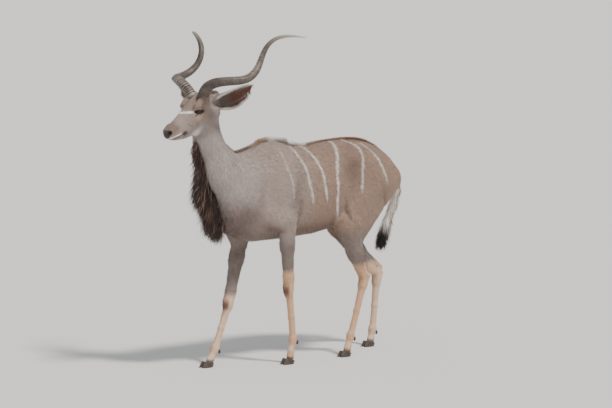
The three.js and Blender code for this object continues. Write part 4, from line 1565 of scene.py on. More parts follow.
@dataclass(frozen=True)
class HornFinish:
    """Weathered horn: dark in its grooves, worn pale on its ridges and toward the tip."""

    groove: Array = tint(44, 37, 33)
    body: Array = tint(108, 96, 88)
    worn: Array = tint(172, 159, 148)
    tip: Array = tint(196, 184, 168)

    def material(self) -> bpy.types.Material:
        """Builds the finish.

        Returns:
            The material.
        """
        graph = Graph("ridged horn")
        place = graph.attribute("root", "Vector")
        along = graph.attribute("along", "Fac")
        ridge = graph.attribute("ridge", "Fac")
        around = graph.attribute("keel", "Fac")
        patch = graph.noise(place, 26, 4)
        fibre = graph.noise(place, 210, 3)
        lift = graph.clamp(ridge * 0.9 + (patch - 0.5) * 0.9 + (fibre - 0.5) * 0.5)
        stops = [(0.1, self.groove), (0.5, self.body), (0.95, self.worn)]
        ramp = graph.node("ShaderNodeValToRGB", {"stops": stops}, {0: lift})
        dark_side = graph.mix(graph.clamp((1 - around) * 0.55), ramp, self.groove)
        pale = graph.clamp((along - 0.72) * 3.2 - (patch - 0.5) * 0.6)
        colour = graph.mix(pale, dark_side, self.tip)
        normal = graph.bump(fibre + ridge * 0.6, 0.5, 0.0018)
        looks = {"Base Color": colour, "Roughness": 0.48, "Specular IOR Level": 0.4, "Normal": normal}
        return graph.surface(looks)


@dataclass(frozen=True)
class HoofFinish:
    """Dark dull keratin with faint growth rings."""

    dark: Array = tint(44, 37, 34)
    dusty: Array = tint(96, 82, 72)

    def material(self) -> bpy.types.Material:
        """Builds the finish.

        Returns:
            The material.
        """
        graph = Graph("claw horn")
        place = graph.attribute("root", "Vector")
        rings = graph.attribute("ridge", "Fac")
        patch = graph.noise(place, 60, 4)
        colour = graph.mix(graph.clamp(patch * 1.2 - 0.35 + rings * 0.2), self.dark, self.dusty)
        normal = graph.bump(rings + patch * 0.4, 0.4, 0.0012)
        return graph.surface({"Base Color": colour, "Roughness": 0.45, "Normal": normal})


@dataclass(frozen=True)
class EyeFinish:
    """A wet dark eye with a wide level pupil."""

    white: Array = tint(40, 28, 24)
    iris: Array = tint(34, 20, 13)
    fleck: Array = tint(52, 32, 20)
    pupil: Array = tint(10, 9, 12)

    def material(self) -> bpy.types.Material:
        """Builds the finish.

        Returns:
            The material.
        """
        graph = Graph("wet eye")
        across = graph.node("ShaderNodeSeparateXYZ", None, {0: graph.attribute("look", "Vector")}, "X")
        upward = Socket(graph, across.link.node.outputs["Y"])
        wide = across * across
        tall = upward * upward
        iris = graph.clamp((0.40 - wide - tall) * 14)
        pupil = graph.clamp((0.085 - wide * 0.45 - tall * 2.2) * 40)
        fleck = graph.noise(graph.attribute("look", "Vector"), 9, 4)
        flecked = graph.mix(fleck * 0.6, self.iris, self.fleck)
        colour = graph.mix(pupil, graph.mix(iris, self.white, flecked), self.pupil)
        return graph.surface(
            {
                "Base Color": colour,
                "Roughness": 0.10,
                "Specular IOR Level": 0.25,
                "Coat Weight": 0.35,
                "Coat Roughness": 0.03,
            }
        )


# Pieces


@dataclass
class Hide:
    """The animal's one skin."""

    row: Row
    flesh: Flesh
    coarse: float = 0.0084
    fine: float = 0.0038
    side_step: float = 0.0046

    def build(self) -> bpy.types.Object:
        """Makes the skin, its colours and its bake map.

        Returns:
            The skin.
        """
        lines = [
            graded(-0.84, 1.19, self.coarse, self.fine, [(0.72, 1.19)]),
            graded(-0.285, 0.285, self.side_step, self.side_step, []),
            graded(-0.01, 1.86, self.coarse, self.fine, [(1.42, 1.86)]),
        ]
        net = SurfaceNet(self.flesh.skin, lines)
        self.outward = net.settle(2, self.fine)
        self.points = net.points
        self.faces = net.faces
        made = make_object("skin", self.row.place(net.points), [net.faces], HideFinish().material())
        self.tone = MARKINGS.colour(self.points, self.outward)
        set_colours(made, "hide", self.tone)
        set_vectors(made, "root", self.points)
        self.unwrap(made)
        names = ["trunk", "neck", "head", "tail", "left_ear", "right_ear"]
        names += [f"{leg.name}_{part}_leg" for leg in LEGS for part in ("upper", "lower")]
        register(made, "trunk_coat", *names)
        return made

    def unwrap(self, made: bpy.types.Object) -> None:
        """Lays the skin out flat for baking and keeps where each corner went.

        Args:
            made: The skin.
        """
        made.data.uv_layers.new(name=BAKE_MAP)
        bpy.context.view_layer.objects.active = made
        made.select_set(True)
        bpy.ops.object.mode_set(mode="EDIT")
        bpy.ops.mesh.select_all(action="SELECT")
        bpy.ops.uv.smart_project(angle_limit=math.radians(66), island_margin=0.001)
        bpy.ops.object.mode_set(mode="OBJECT")
        made.select_set(False)
        count = len(made.data.loops)
        places = np.empty(count * 2, np.float32)
        made.data.uv_layers[BAKE_MAP].uv.foreach_get("vector", places)
        corners = np.empty(count, np.int32)
        made.data.loops.foreach_get("vertex_index", corners)
        self.corner_map = np.zeros((len(self.points), 2))
        self.corner_map[corners] = places.reshape(-1, 2)


@dataclass(frozen=True)
class Roots:
    """Where tufts grow: places, outward directions, colours and places on the bake map."""

    points: Array
    outward: Array
    colour: Array
    patch: Array

    def chosen(self, rows: Array) -> "Roots":
        """The roots that a mask or list of rows picks out."""
        return Roots(self.points[rows], self.outward[rows], self.colour[rows], self.patch[rows])

    def coloured(self, colour: Array) -> "Roots":
        """The same roots with other colours."""
        return Roots(self.points, self.outward, colour, self.patch)

    def __len__(self) -> int:
        """How many roots there are."""
        return len(self.points)


@dataclass
class Scalp:
    """The skin as ground for hair: scatters roots over it."""

    hide: Hide

    def __post_init__(self) -> None:
        """Measures the skin's faces."""
        p = self.hide.points[self.hide.faces]
        self.area = np.linalg.norm(np.cross(p[:, 2] - p[:, 0], p[:, 3] - p[:, 1]), axis=1) / 2
        self.middle = p.mean(1)

    def scatter(self, count: int, wanted: Callable[[Array, Array], Array], seed: int) -> Roots:
        """Draws random roots, more of them where they are wanted.

        Args:
            count: Number of roots.
            wanted: Weight of a place, from face centres and their outward directions.
            seed: Start of the random draws.

        Returns:
            The roots.
        """
        draw = np.random.default_rng(seed)
        hide = self.hide
        facing = unit(hide.outward[hide.faces].mean(1))
        weight = self.area * wanted(self.middle, facing)
        chosen = draw.choice(len(weight), count, p=weight / weight.sum())
        corners = hide.faces[chosen]
        u, v = draw.random((2, count, 1))
        shares = np.stack([(1 - u) * (1 - v), u * (1 - v), u * v, (1 - u) * v], 1)
        points = (hide.points[corners] * shares).sum(1)
        outward = unit((hide.outward[corners] * shares).sum(1))
        patch = hide.corner_map[corners]
        spread = np.ptp(patch, axis=1).max(1) < 0.02
        patch = np.where(spread[:, None], (patch * shares).sum(1), patch[:, 0])
        return Roots(points, outward, MARKINGS.colour(points, outward), patch)


def lie(points: Array, outward: Array) -> Array:
    """The way the coat lies at each place, along the skin.

    Args:
        points: Places on the skin.
        outward: The skin's outward directions there.

    Returns:
        Directions along the skin, of length one.
    """
    forward, left, up = points.T
    way = np.tile([-0.85, 0.0, -0.65], (len(points), 1))

    def turn(direction: Sequence[float], mask: Array) -> None:
        """Turns the lie toward a direction, as strongly as the mask says."""
        nonlocal way
        way = way + (unit(direction) - way) * np.clip(mask, 0, 1)[:, None]

    turn((-0.25, 0, -1), ease(forward, 0.48, 0.66) * ease(up, 1.45, 1.30))
    turn((-0.15, 0, -1), ease(up, 0.95, 0.80))
    turn((-0.55, 0, -0.85), ease(forward, 0.66, 0.72) * ease(up, 1.40, 1.50))
    turn((-0.1, 0, -1), ease(forward, -0.66, -0.72))
    turn(-HEAD.face, ease(forward, 0.80, 0.86) * ease(up, 1.40, 1.46))
    for ear in EARS:
        turn(ear.ahead, ear.mask(points))
    way = way - outward * (way * outward).sum(1)[:, None]
    return unit(way)


@dataclass(frozen=True)
class Cut:
    """How a kind of hair is shaped."""

    length: float
    width: float
    lift: float  # how far its middle stands off the skin, as a part of its length
    droop: float = 0.0  # how far its end falls, as a part of its length
    segments: int = 2
    tone_spread: float = 0.10
    sink: float = 0.0012
    length_spread: float = 0.25


class Coat:
    """Tufts of one kind over a set of roots, in pieces of limited size."""

    MOST_TRIANGLES = 190_000
    PATCH = 0.003

    def __init__(self, name: str, row: Row, roots: Roots, way: Array, cut: Cut, seed: int) -> None:
        """Shapes a tuft on each root.

        Args:
            name: Start of the pieces' names.
            row: Where the row lies.
            roots: Where the tufts grow.
            way: The direction that each leans in.
            cut: Their shape.
            seed: Start of the random draws.
        """
        self.name = name
        self.row = row
        self.roots = roots
        self.way = way
        self.cut = cut
        self.draw = np.random.default_rng(seed)

    def build(self, material: bpy.types.Material, slot: str, scale: Array | float = 1.0, *nodes: str) -> int:
        """Makes the pieces and returns their number of triangles.

        Args:
            material: The tufts' material.
            slot: Their finish slot.
            scale: Each tuft's length, as a part of the cut's.
            nodes: The nodes that they stand for.

        Returns:
            The number of triangles.
        """
        count = len(self.roots)
        per_tuft = 2 * self.cut.segments - 1
        pieces = math.ceil(count * per_tuft / self.MOST_TRIANGLES)
        scale = np.broadcast_to(scale, count)
        for number, rows in enumerate(np.array_split(np.arange(count), pieces), 1):
            made = self.piece(f"{self.name}_{number}", rows, scale[rows], material)
            register(made, slot, *(nodes if number == 1 else ()))
        return count * per_tuft

    def piece(self, name: str, rows: Array, scale: Array, material: bpy.types.Material) -> bpy.types.Object:
        """One joined mesh of tufts.

        Args:
            name: The piece's name.
            rows: Which roots it holds.
            scale: Each tuft's length, as a part of the cut's.
            material: Its material.

        Returns:
            The piece.
        """
        cut = self.cut
        roots = self.roots.chosen(rows)
        count = len(rows)
        outward = roots.outward
        draw = self.draw
        jitter = draw.normal(size=(count, 3)) * 0.16
        way = unit(self.way[rows] + jitter)
        spin = draw.normal(size=count) * 0.5
        side = unit(np.cross(way, outward))
        side = side * np.cos(spin)[:, None] + outward * np.sin(spin)[:, None] * 0.6
        length = cut.length * scale * (1 + cut.length_spread * draw.uniform(-1, 1, count))
        lift = cut.lift * (0.6 + 0.8 * draw.random(count))
        stations = cut.segments
        levels = []
        for j in range(stations + 1):
            t = j / stations
            rise = lift * length * math.sin(math.pi * min(0.5 + 0.5 * t, 1) * t) - cut.sink * (1 - t)
            centre = roots.points + way * (length * t)[:, None] + outward * rise[:, None]
            centre = centre - np.array([0, 0, 1.0]) * (cut.droop * length * t * t)[:, None]
            if j == stations:
                levels.append(centre[:, None])
                continue
            half = cut.width / 2 * (1 - 0.55 * t * t) * (0.75 + 0.5 * draw.random(count))
            levels.append(np.stack([centre - side * half[:, None], centre + side * half[:, None]], 1))
        points = np.concatenate(levels, 1)
        per = points.shape[1]
        base = (np.arange(count) * per)[:, None]
        quads = [base + np.array([2 * j, 2 * j + 1, 2 * j + 3, 2 * j + 2]) for j in range(stations - 1)]
        tips = base + np.array([2 * stations - 2, 2 * stations - 1, 2 * stations])
        faces = ([np.concatenate(quads)] if quads else []) + [tips]
        made = make_object(name, self.row.place(points.reshape(-1, 3)), faces, material)
        tone = 1 + cut.tone_spread * draw.normal(size=(count, 1))
        # Painted shade and highlight: each tuft is darker at its root against the skin and lighter at its
        # tip.
        shade = np.linspace(0.90, 1.06, per)[None, :, None]
        colours = np.clip(roots.colour * tone, 0, 1)[:, None] * shade
        set_colours(made, "hide", colours.reshape(-1, 3))
        self.lay_map(made, roots.patch, per)
        return made

    def lay_map(self, made: bpy.types.Object, patch: Array, per: int) -> None:
        """Puts each tuft on a small patch at its root's place on the bake map.

        Args:
            made: The piece.
            patch: Each root's place on the map.
            per: Corners in a tuft.
        """
        corners = np.empty(len(made.data.loops), np.int32)
        made.data.loops.foreach_get("vertex_index", corners)
        step = corners % per
        spread = np.stack([(step % 2) * 0.8, step / per], 1) * self.PATCH
        places = patch[corners // per] + spread - self.PATCH / 2
        layer = made.data.uv_layers.new(name=BAKE_MAP)
        layer.uv.foreach_set("vector", np.clip(places, 0, 1).astype(np.float32).ravel())


@dataclass(frozen=True)
class Hair:
    """One kind of hair: its pieces' name, its look, slot and nodes, and how many tufts it has."""

    name: str
    look: str
    slot: str
    count: int
    number: int  # tells the kinds' random draws apart
    nodes: tuple[str, ...] = ()


SHORT = Hair("short_coat", "body tufts", "trunk_coat", 230_000, 1)
FACE = Hair("face_coat", "face tufts", "face_coat", 70_000, 2)
CREST = Hair("crest", "crest locks", "pale_hair", 22_000, 3, ("spine_crest",))
FRINGE = Hair("throat_fringe_locks", "fringe locks", "dark_hair", 13_000, 4, ("throat_fringe",))
TAIL = Hair("tail_locks", "tail locks", "dark_hair", 9_000, 5, ("tail_tuft",))
EAR_HAIR = Hair("ear_locks", "ear locks", "ear_coat", 6_000, 6)
ROOT_SEED, TUFT_SEED, COLOUR_SEED = 10, 20, 30


@dataclass
class Pelt:
    """All the hair on the animal: short coat, crest, throat fringe, tail and ears."""

    row: Row
    scalp: Scalp

    def build(self) -> int:
        """Grows every kind of hair and returns the number of triangles."""
        kinds = (self.short, self.face, self.crest, self.fringe, self.tail, self.ears)
        return sum(kind() for kind in kinds)

    def scatter(self, hair: Hair, wanted: Callable[[Array, Array], Array]) -> Roots:
        """The roots of one kind of hair."""
        return self.scalp.scatter(hair.count, wanted, ROOT_SEED + hair.number)

    def grow(self, hair: Hair, roots: Roots, way: Array, cut: Cut, scale: Array | float = 1.0) -> int:
        """Makes one kind of hair.

        Args:
            hair: The kind.
            roots: Where it grows.
            way: The direction that each tuft leans in.
            cut: The tufts' shape.
            scale: The length of each, as a part of the cut's.

        Returns:
            The number of triangles.
        """
        coat = Coat(hair.name, self.row, roots, way, cut, TUFT_SEED + hair.number)
        return coat.build(LockFinish(hair.look).material(), hair.slot, scale, *hair.nodes)

    @staticmethod
    def head_mask(points: Array) -> Array:
        """1 on the head and ears, 0 on the body."""
        return on_head(points) + sum(ear.mask(points) for ear in EARS)

    def short(self) -> int:
        """The short coat of the body and legs.

        Returns:
            The number of triangles.
        """

        def wanted(points: Array, _: Array) -> Array:
            """More tufts on the legs, none on the head."""
            body = 1 - np.clip(self.head_mask(points), 0, 1)
            return body * (1 + 1.2 * ease(points[:, 2], 0.75, 0.5))

        roots = self.scatter(SHORT, wanted)
        scale = 1 - 0.55 * ease(roots.points[:, 2], 0.70, 0.45)
        cut = Cut(length=0.019, width=0.0027, lift=0.10, tone_spread=0.065)
        return self.grow(SHORT, roots, lie(roots.points, roots.outward), cut, scale)

    def face(self) -> int:
        """The finest coat, on the head and ears.

        Returns:
            The number of triangles.
        """

        def wanted(points: Array, _: Array) -> Array:
            """Tufts on the head and ears, but none on the nose, lids and lips.

            Args:
                points: Face centres of the skin.

            Returns:
                A weight for each.
            """
            along, _, up = HEAD.local(points)
            length, height = almond(along, up)
            lids = ease(np.hypot((length - 0.004) / 2.1, height), 0.0160, 0.0135)
            bare = ease(along, 0.390, 0.400) + lids
            return np.clip(self.head_mask(points), 0, 1) * (1 - np.clip(bare, 0, 1))

        roots = self.scatter(FACE, wanted)
        along = HEAD.local(roots.points)[0]
        cut = Cut(length=0.011, width=0.0017, lift=0.09, tone_spread=0.07, sink=0.0008)
        scale = 1 - 0.5 * ease(along, 0.15, 0.34)
        return self.grow(FACE, roots, lie(roots.points, roots.outward), cut, scale)

    def crest(self) -> int:
        """The standing hair along the spine.

        Returns:
            The number of triangles.
        """

        def wanted(points: Array, outward: Array) -> Array:
            """Roots close to the middle of the nape and back.

            Args:
                points: Face centres of the skin.
                outward: The skin's outward direction at each.

            Returns:
                A weight for each.
            """
            forward, left, up = points.T
            wide = 0.016 + 0.005 * bell(forward, 0.19, 0.15)
            spine = ease(np.abs(left), wide, wide * 0.4) * ease(up, 1.14, 1.20) * ease(forward, -0.70, -0.60)
            back = (outward @ unit((-0.55, 0, 0.8)) > 0.2) & (forward < 0.80)
            return spine * back * (1 + 3.0 * bell(forward, 0.19, 0.15))

        roots = self.scatter(CREST, wanted)
        forward = roots.points[:, 0]
        rise = 0.42 + 0.75 * bell(forward, 0.21, 0.17) + 0.15 * bell(forward, 0.62, 0.12)
        rise = rise + 0.22 * ease(forward, -0.2, -0.4)
        way = unit(lie(roots.points, roots.outward) * 0.9 + roots.outward * 0.75)
        cut = Cut(length=0.040, width=0.0026, lift=0.08, segments=3, tone_spread=0.13, sink=0.003)
        return self.grow(CREST, roots, way, cut, rise)

    def fringe(self) -> int:
        """The long hair that hangs from the throat and the front of the neck.

        Returns:
            The number of triangles.
        """

        def wanted(points: Array, outward: Array) -> Array:
            """Roots down the front of the neck.

            Args:
                points: Face centres of the skin.
                outward: The skin's outward direction at each.

            Returns:
                A weight for each.
            """
            forward, left, up = points.T
            front = (outward[:, 0] > 0.25) & (forward > 0.60)
            reach = 0.018 + 0.018 * ease(up, 1.32, 1.12)
            line = ease(np.abs(left - 0.008), reach, reach * 0.3)
            return line * front * ease(up, 1.43, 1.38) * ease(up, 0.87, 0.93)

        roots = self.scatter(FRINGE, wanted)
        pick = np.random.default_rng(COLOUR_SEED + FRINGE.number).random(len(roots))[:, None]
        light = np.where(pick < 0.90, MARKINGS.fringe_red, MARKINGS.fringe_pale)
        roots = roots.coloured(np.where(pick < 0.72, MARKINGS.fringe_dark, light))
        way = unit(roots.outward * 0.55 + np.array([0.05, 0, -1.0]))
        height = roots.points[:, 2]
        scale = 0.42 + 0.58 * ease(height, 1.40, 1.18) - 0.25 * ease(height, 1.0, 0.88)
        cut = Cut(
            length=0.118,
            width=0.0024,
            lift=0.06,
            droop=0.10,
            segments=4,
            tone_spread=0.15,
            sink=0.004,
            length_spread=0.45,
        )
        return self.grow(FRINGE, roots, way, cut, scale)

    def tail(self) -> int:
        """Long hair down the tail and the black tuft at its end.

        Returns:
            The number of triangles.
        """
        roots = self.scatter(TAIL, lambda points, _: on_tail(points))
        way = unit(np.array([0.10, -0.12, -1.0]) + roots.outward * 0.20)
        scale = 0.55 + 0.45 * ease(roots.points[:, 2], 0.90, 0.78)
        cut = Cut(0.090, 0.0030, lift=0.05, droop=0.05, segments=3, tone_spread=0.12, sink=0.002)
        return self.grow(TAIL, roots, way, cut, scale)

    def ears(self) -> int:
        """Pale hair inside and along the rims of the ears.

        Returns:
            The number of triangles.
        """

        def wanted(points: Array, _: Array) -> Array:
            """Roots on the rims and inside faces of the ears.

            Args:
                points: Face centres of the skin.

            Returns:
                A weight for each.
            """
            total = np.zeros(len(points))
            for ear in EARS:
                t, turn, depth = ear.local(points)
                curl = ear.section(t)[1]
                share = ease(turn, curl - 0.22, curl - 0.05) + 0.22 * ease(depth, 0.0035, 0.0055)
                total += ear.mask(points) * share * ease(t, 0.93, 0.80)
            return total

        roots = self.scatter(EAR_HAIR, wanted)
        roots = roots.coloured(roots.colour + (MARKINGS.white - roots.colour) * 0.12)
        way = unit(lie(roots.points, roots.outward) + roots.outward * 0.35)
        cut = Cut(length=0.017, width=0.0012, lift=0.10, segments=2, tone_spread=0.10, sink=0.001)
        return self.grow(EAR_HAIR, roots, way, cut)


@dataclass
class Horn:
    """One corkscrew horn with its keel and ridges."""

    row: Row
    side: Side
    start: tuple[float, float, float] = (0.008, 0.066, -0.036)
    axis_turn: float = 2.558
    axis_rise: float = 0.74
    length: float = 0.690
    length_bow: float = -0.056
    coil_sizes: tuple[float, float, float] = (-0.070, -0.122, -0.523)
    coil_at_tip: float = 0.132
    coil_turns: tuple[float, float, float] = (-2.494, 9.899, -3.164)
    foot_radius: float = 0.034
    tip_radius: float = 0.003
    keel: float = 0.007
    ridges: int = 46
    rows: int = 520
    ring: int = 40

    def middle(self, t: Array) -> Array:
        """The horn's middle line at t from foot (0) to tip (1).

        Args:
            t: Places along the horn.

        Returns:
            Places in body directions.
        """
        cosine, sine = math.cos(self.axis_rise), math.sin(self.axis_rise)
        axis = np.array([cosine * math.cos(self.axis_turn), cosine * math.sin(self.axis_turn), sine])
        across = unit(np.cross([0, 0, 1.0], axis))
        upright = np.cross(axis, across)
        powers = np.stack([np.ones_like(t), t, t * t])
        coil = (1 - t) * (np.array(self.coil_sizes) @ powers) + t * self.coil_at_tip
        turn = np.array(self.coil_turns) @ powers
        along = self.length * (t + self.length_bow * t * (1 - t))
        local = (
            np.array(self.start)
            + along[:, None] * axis
            + (coil * np.cos(turn))[:, None] * across
            + (coil * np.sin(turn))[:, None] * upright
        )
        foot = HEAD.at(0.074, self.side.value * 0.048, 0.048)
        out = self.side.value * local[:, 1:2] * HEAD.left
        return foot + local[:, :1] * HEAD.level + out + local[:, 2:] * np.array([0, 0, 1.0])

    def radius(self, t: Array) -> Array:
        """The horn's radius at t, without its keel."""
        body = (self.foot_radius - self.tip_radius) * (1 - t) ** 0.45 * (1 - 0.25 * t)
        return body + self.tip_radius * (1 - 0.6 * t)

    def build(self) -> bpy.types.Object:
        """Makes the horn as one lofted surface.

        Returns:
            The horn.
        """
        t = np.concatenate([[-0.03, -0.015], np.linspace(0, 1, self.rows)])
        held = np.clip(t, 0, 1)
        line = self.middle(held)
        ahead = unit(self.middle(held + 0.002) - self.middle(held - 0.002))
        line = line + ahead * (np.minimum(t, 0) * 0.7)[:, None]
        reference = np.empty_like(line)
        current = HEAD.left
        for i, way in enumerate(ahead):
            current = unit(current - way * (current @ way))
            reference[i] = current
        other = np.cross(ahead, reference)
        turn = np.linspace(0, 2 * math.pi, self.ring, endpoint=False)
        keel_turn = self.side.value * (0.6 + 4.6 * held)
        gap = np.angle(np.exp(1j * (turn[None] - keel_turn[:, None])))
        fade = (1 - held[:, None]) ** 0.7
        keel = self.keel * fade * np.exp(-((gap / 0.42) ** 2))
        second = 0.0030 * fade * np.exp(-(((np.abs(gap) - 2.3) / 0.5) ** 2))
        spacing = self.ridges * held[:, None] ** 0.85 + 0.35 * np.cos(gap)
        wave = np.sin(2 * math.pi * spacing) * (0.6 + 0.4 * np.sin(spacing * 1.7))
        ridged = np.clip(1.12 - 1.45 * held[:, None], 0, 1) * (0.55 + 0.45 * np.cos(gap))
        flutes = 0.0005 * np.sin(gap * 9 + held[:, None] * 40) * fade
        radius = self.radius(held)[:, None] - 0.0015 + keel + second + 0.0013 * wave * ridged + flutes
        ring = reference[:, None] * np.cos(turn)[None, :, None] + other[:, None] * np.sin(turn)[None, :, None]
        points = (line[:, None] + ring * radius[..., None]).reshape(-1, 3)
        name = f"{self.side.word}_horn"
        faces = tube_faces(len(t), self.ring)
        made = make_object(f"{name}_piece", self.row.place(points), faces, self.finish())
        set_vectors(made, "root", points)
        set_values(made, "along", np.repeat(held, self.ring))
        set_values(made, "ridge", (0.5 + 0.5 * wave * ridged).ravel())
        set_values(made, "keel", (0.5 + 0.5 * np.cos(gap - 0.5)).ravel())
        register(made, "horn", name)
        return made

    def finish(self) -> bpy.types.Material:
        """The horns' shared finish."""
        return bpy.data.materials.get("ridged horn") or HornFinish().material()


@dataclass
class Eye:
    """One eye, with its clear bulge at the front."""

    row: Row
    side: Side
    columns: int = 64
    rows: int = 40

    def build(self) -> bpy.types.Object:
        """Makes the eyeball.

        Returns:
            The eyeball.
        """
        gaze = EYE.gaze(self.side)
        crown = unit(HEAD.crown - gaze * (HEAD.crown @ gaze))
        corner = np.cross(gaze, crown)
        lift = np.linspace(0.02, math.pi - 0.02, self.rows)
        turn = np.linspace(0, 2 * math.pi, self.columns, endpoint=False)
        sine = np.sin(lift)[:, None]
        local = np.stack(
            [sine * np.cos(turn), sine * np.sin(turn), np.cos(lift)[:, None] + 0 * turn], -1
        ).reshape(-1, 3)
        bulge = 1 + 0.05 * ease(local[:, 2], 0.72, 0.95)
        radius = EYE.radius - 0.0004
        points = EYE.centre(self.side) + (local * (radius * bulge)[:, None]) @ np.stack([corner, crown, gaze])
        faces = [face[:, ::-1] for face in tube_faces(self.rows, self.columns)]
        material = bpy.data.materials.get("wet eye") or EyeFinish().material()
        made = make_object(f"{self.side.word}_eyeball", self.row.place(points), faces, material)
        set_vectors(made, "look", local)
        register(made, "eyeball", f"{self.side.word}_eye")
        return made


@dataclass
class Foot:
    """The two hooves and two dewclaws of one leg."""

    row: Row
    leg: Leg
    length: float = 0.084
    width: float = 0.029
    cleft: float = 0.002
    heel: float = 0.024
    toe: float = 0.046
    reach: float = 0.018
    growth: float = 46
    claw_radius: float = 0.0088
    claw_height: float = 0.0148
    ring: int = 40
    levels: int = 22

    def build(self) -> None:
        """Makes the four claws."""
        for word, out in (("outer", 1), ("inner", -1)):
            self.hoof(word, out * self.leg.side.value)
            self.dewclaw(word, out * self.leg.side.value)

    def material(self) -> bpy.types.Material:
        """The claws' shared finish."""
        return bpy.data.materials.get("claw horn") or HoofFinish().material()

    def hoof(self, word: str, out: int) -> None:
        """One main claw, from its sole up to the slanting top.

        Args:
            word: outer or inner.
            out: The sign of its direction from the cleft.
        """
        level = np.concatenate([[0.0], np.linspace(0.0, 1.0, self.levels) ** 1.1, [1.0]])[:, None]
        turn = np.linspace(0, 2 * math.pi, self.ring, endpoint=False)[None]
        ahead, aside = np.cos(turn), np.sin(turn)
        bevel = np.where(level < 0.04, 0.965, 1.0)
        shrink = (1 - 0.16 * level) * bevel
        forward = ahead * np.where(ahead > 0, 0.56, 0.44) * self.length * shrink - 0.016 * level
        narrow = 1 - 0.4 * np.maximum(0, ahead) ** 2
        bulge = np.where(aside * out > 0, 1.0, 0.86)
        left = bulge * aside * self.width / 2 * shrink * narrow
        slope = (self.toe - self.heel) / self.length
        top = (self.toe + self.heel) / 2 + slope * forward
        rings = 0.0003 * np.sin(level * self.growth)
        forward = forward + rings * ahead
        up = level * top
        toe = self.leg.toe
        centre = np.array([toe[0] + self.reach, toe[1] + out * (self.cleft + self.width) / 2, 0])
        points = np.stack([forward, left + 0 * forward, up], -1).reshape(-1, 3) + centre
        ridge = np.repeat(np.sin(level * self.growth) * 0.5 + 0.5, self.ring)
        self.piece(f"{self.leg.name}_{word}_hoof", points, len(level), ridge)

    def dewclaw(self, word: str, out: int) -> None:
        """One small claw behind the fetlock.

        Args:
            word: outer or inner.
            out: The sign of its direction from the middle.
        """
        lift = np.linspace(0.1, math.pi - 0.1, self.levels)[:, None]
        turn = np.linspace(0, 2 * math.pi, self.ring, endpoint=False)[None]
        radius = self.claw_radius
        point = 1 - 0.25 * ease(lift, 1.6, 0.2)
        x = radius * np.sin(lift) * np.cos(turn) * point
        y = radius * 0.9 * np.sin(lift) * np.sin(turn) * point
        z = -self.claw_height * np.cos(lift) + 0 * turn
        centre = np.asarray(self.leg.fetlock) + (-0.025, out * 0.014, -0.016)
        points = np.stack([x, y, z], -1).reshape(-1, 3) + centre
        self.piece(f"{self.leg.name}_{word}_dewclaw", points, self.levels, np.zeros(len(points)))

    def piece(self, node: str, points: Array, levels: int, ridge: Array) -> None:
        """Joins rings of points into one closed claw.

        Args:
            node: The node that it stands for.
            points: Its corners, ring by ring.
            levels: Number of rings.
            ridge: How far each corner stands out, from 0 to 1.
        """
        faces = tube_faces(levels, self.ring)
        made = make_object(f"{node}_piece", self.row.place(points), faces, self.material())
        set_vectors(made, "root", points)
        set_values(made, "ridge", ridge)
        register(made, "hoof_horn", node)


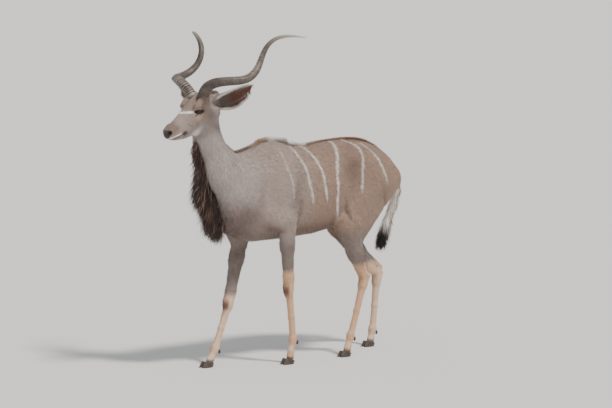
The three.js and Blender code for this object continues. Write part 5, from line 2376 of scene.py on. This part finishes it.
@dataclass
class Studio:
    """The floor, lights and camera."""

    row: Row
    camera_turn: float = math.radians(40)
    camera_distance: float = 17.0
    camera_height: float = 2.693
    camera_pitch: float = math.radians(5.76)
    lens: float = 159.94

    def build(self) -> None:
        """Sets up everything round the animal."""
        self.floor()
        self.lights()
        self.camera()

    def floor(self) -> None:
        """A plain pale floor."""
        graph = Graph("floor")
        material = graph.surface({"Base Color": (0.74, 0.73, 0.71, 1), "Roughness": 0.9})
        bpy.ops.mesh.primitive_plane_add(size=600)
        floor = bpy.context.active_object
        floor.name = "floor"
        floor.data.materials.append(material)
        floor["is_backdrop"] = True

    def lights(self) -> None:
        """A high key light, a soft fill and a pale surround."""
        world = bpy.data.worlds.new("surround")
        world.use_nodes = True
        shade = world.node_tree.nodes["Background"]
        shade.inputs["Color"].default_value = (0.93, 0.96, 1.0, 1)
        shade.inputs["Strength"].default_value = 0.55
        bpy.context.scene.world = world
        self.sun("key", 3.5, 9, (0.10, -0.62, 0.95), (1.0, 0.965, 0.91))
        self.sun("fill", 0.5, 60, (-0.9, -0.5, 0.5), (0.9, 0.95, 1.0))

    def sun(
        self, name: str, strength: float, spread: float, source: Sequence[float], colour: Sequence[float]
    ) -> None:
        """A soft light that comes from a direction.

        Args:
            name: The light's name.
            strength: Its strength.
            spread: Its width in degrees.
            source: The direction that it comes from.
            colour: Its colour.
        """
        data = bpy.data.lights.new(name, "SUN")
        data.energy = strength
        data.angle = math.radians(spread)
        data.color = colour
        light = bpy.data.objects.new(name, data)
        light.rotation_mode = "QUATERNION"
        light.rotation_quaternion = Vector(source).to_track_quat("Z", "Y")
        bpy.context.scene.collection.objects.link(light)

    def camera(self) -> None:
        """A camera at the photograph's place and framing."""
        data = bpy.data.cameras.new("camera")
        data.lens = self.lens
        data.sensor_width = 36
        data.clip_end = 900
        camera = bpy.data.objects.new("camera", data)
        away = self.camera_distance
        sine, cosine = math.sin(self.camera_turn), math.cos(self.camera_turn)
        place = (sine * away, cosine * away, self.camera_height)
        camera.location = Vector(self.row.place(np.array(place)))
        flat = math.cos(self.camera_pitch)
        look = (-sine * flat, -cosine * flat, -math.sin(self.camera_pitch))
        back = -Vector(self.row.direction(np.array(look)))
        camera.rotation_mode = "QUATERNION"
        camera.rotation_quaternion = back.to_track_quat("Z", "Y")
        bpy.context.scene.collection.objects.link(camera)
        bpy.context.scene.camera = camera


def corners(box: Sequence[Vector]) -> list[list[float]]:
    """A box's two corners as plain numbers."""
    return [[float(v) for v in corner] for corner in box]


def main() -> None:
    """Builds the animal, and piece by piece."""
    logging.basicConfig(level=logging.INFO, format="%(name)s %(message)s")
    cad_box = corners(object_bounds())
    row = Row.found()
    hide = Hide(row, FLESH)
    hide.build()
    total = Pelt(row, Scalp(hide)).build()
    log.info("hair: %d triangles", total)
    for side in Side:
        Horn(row, side).build()
        Eye(row, side).build()
    for leg in LEGS:
        Foot(row, leg).build()
    Studio(row).build()
    {"cad": cad_box, "visual": corners(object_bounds())}


if __name__ == "__main__":
    main()
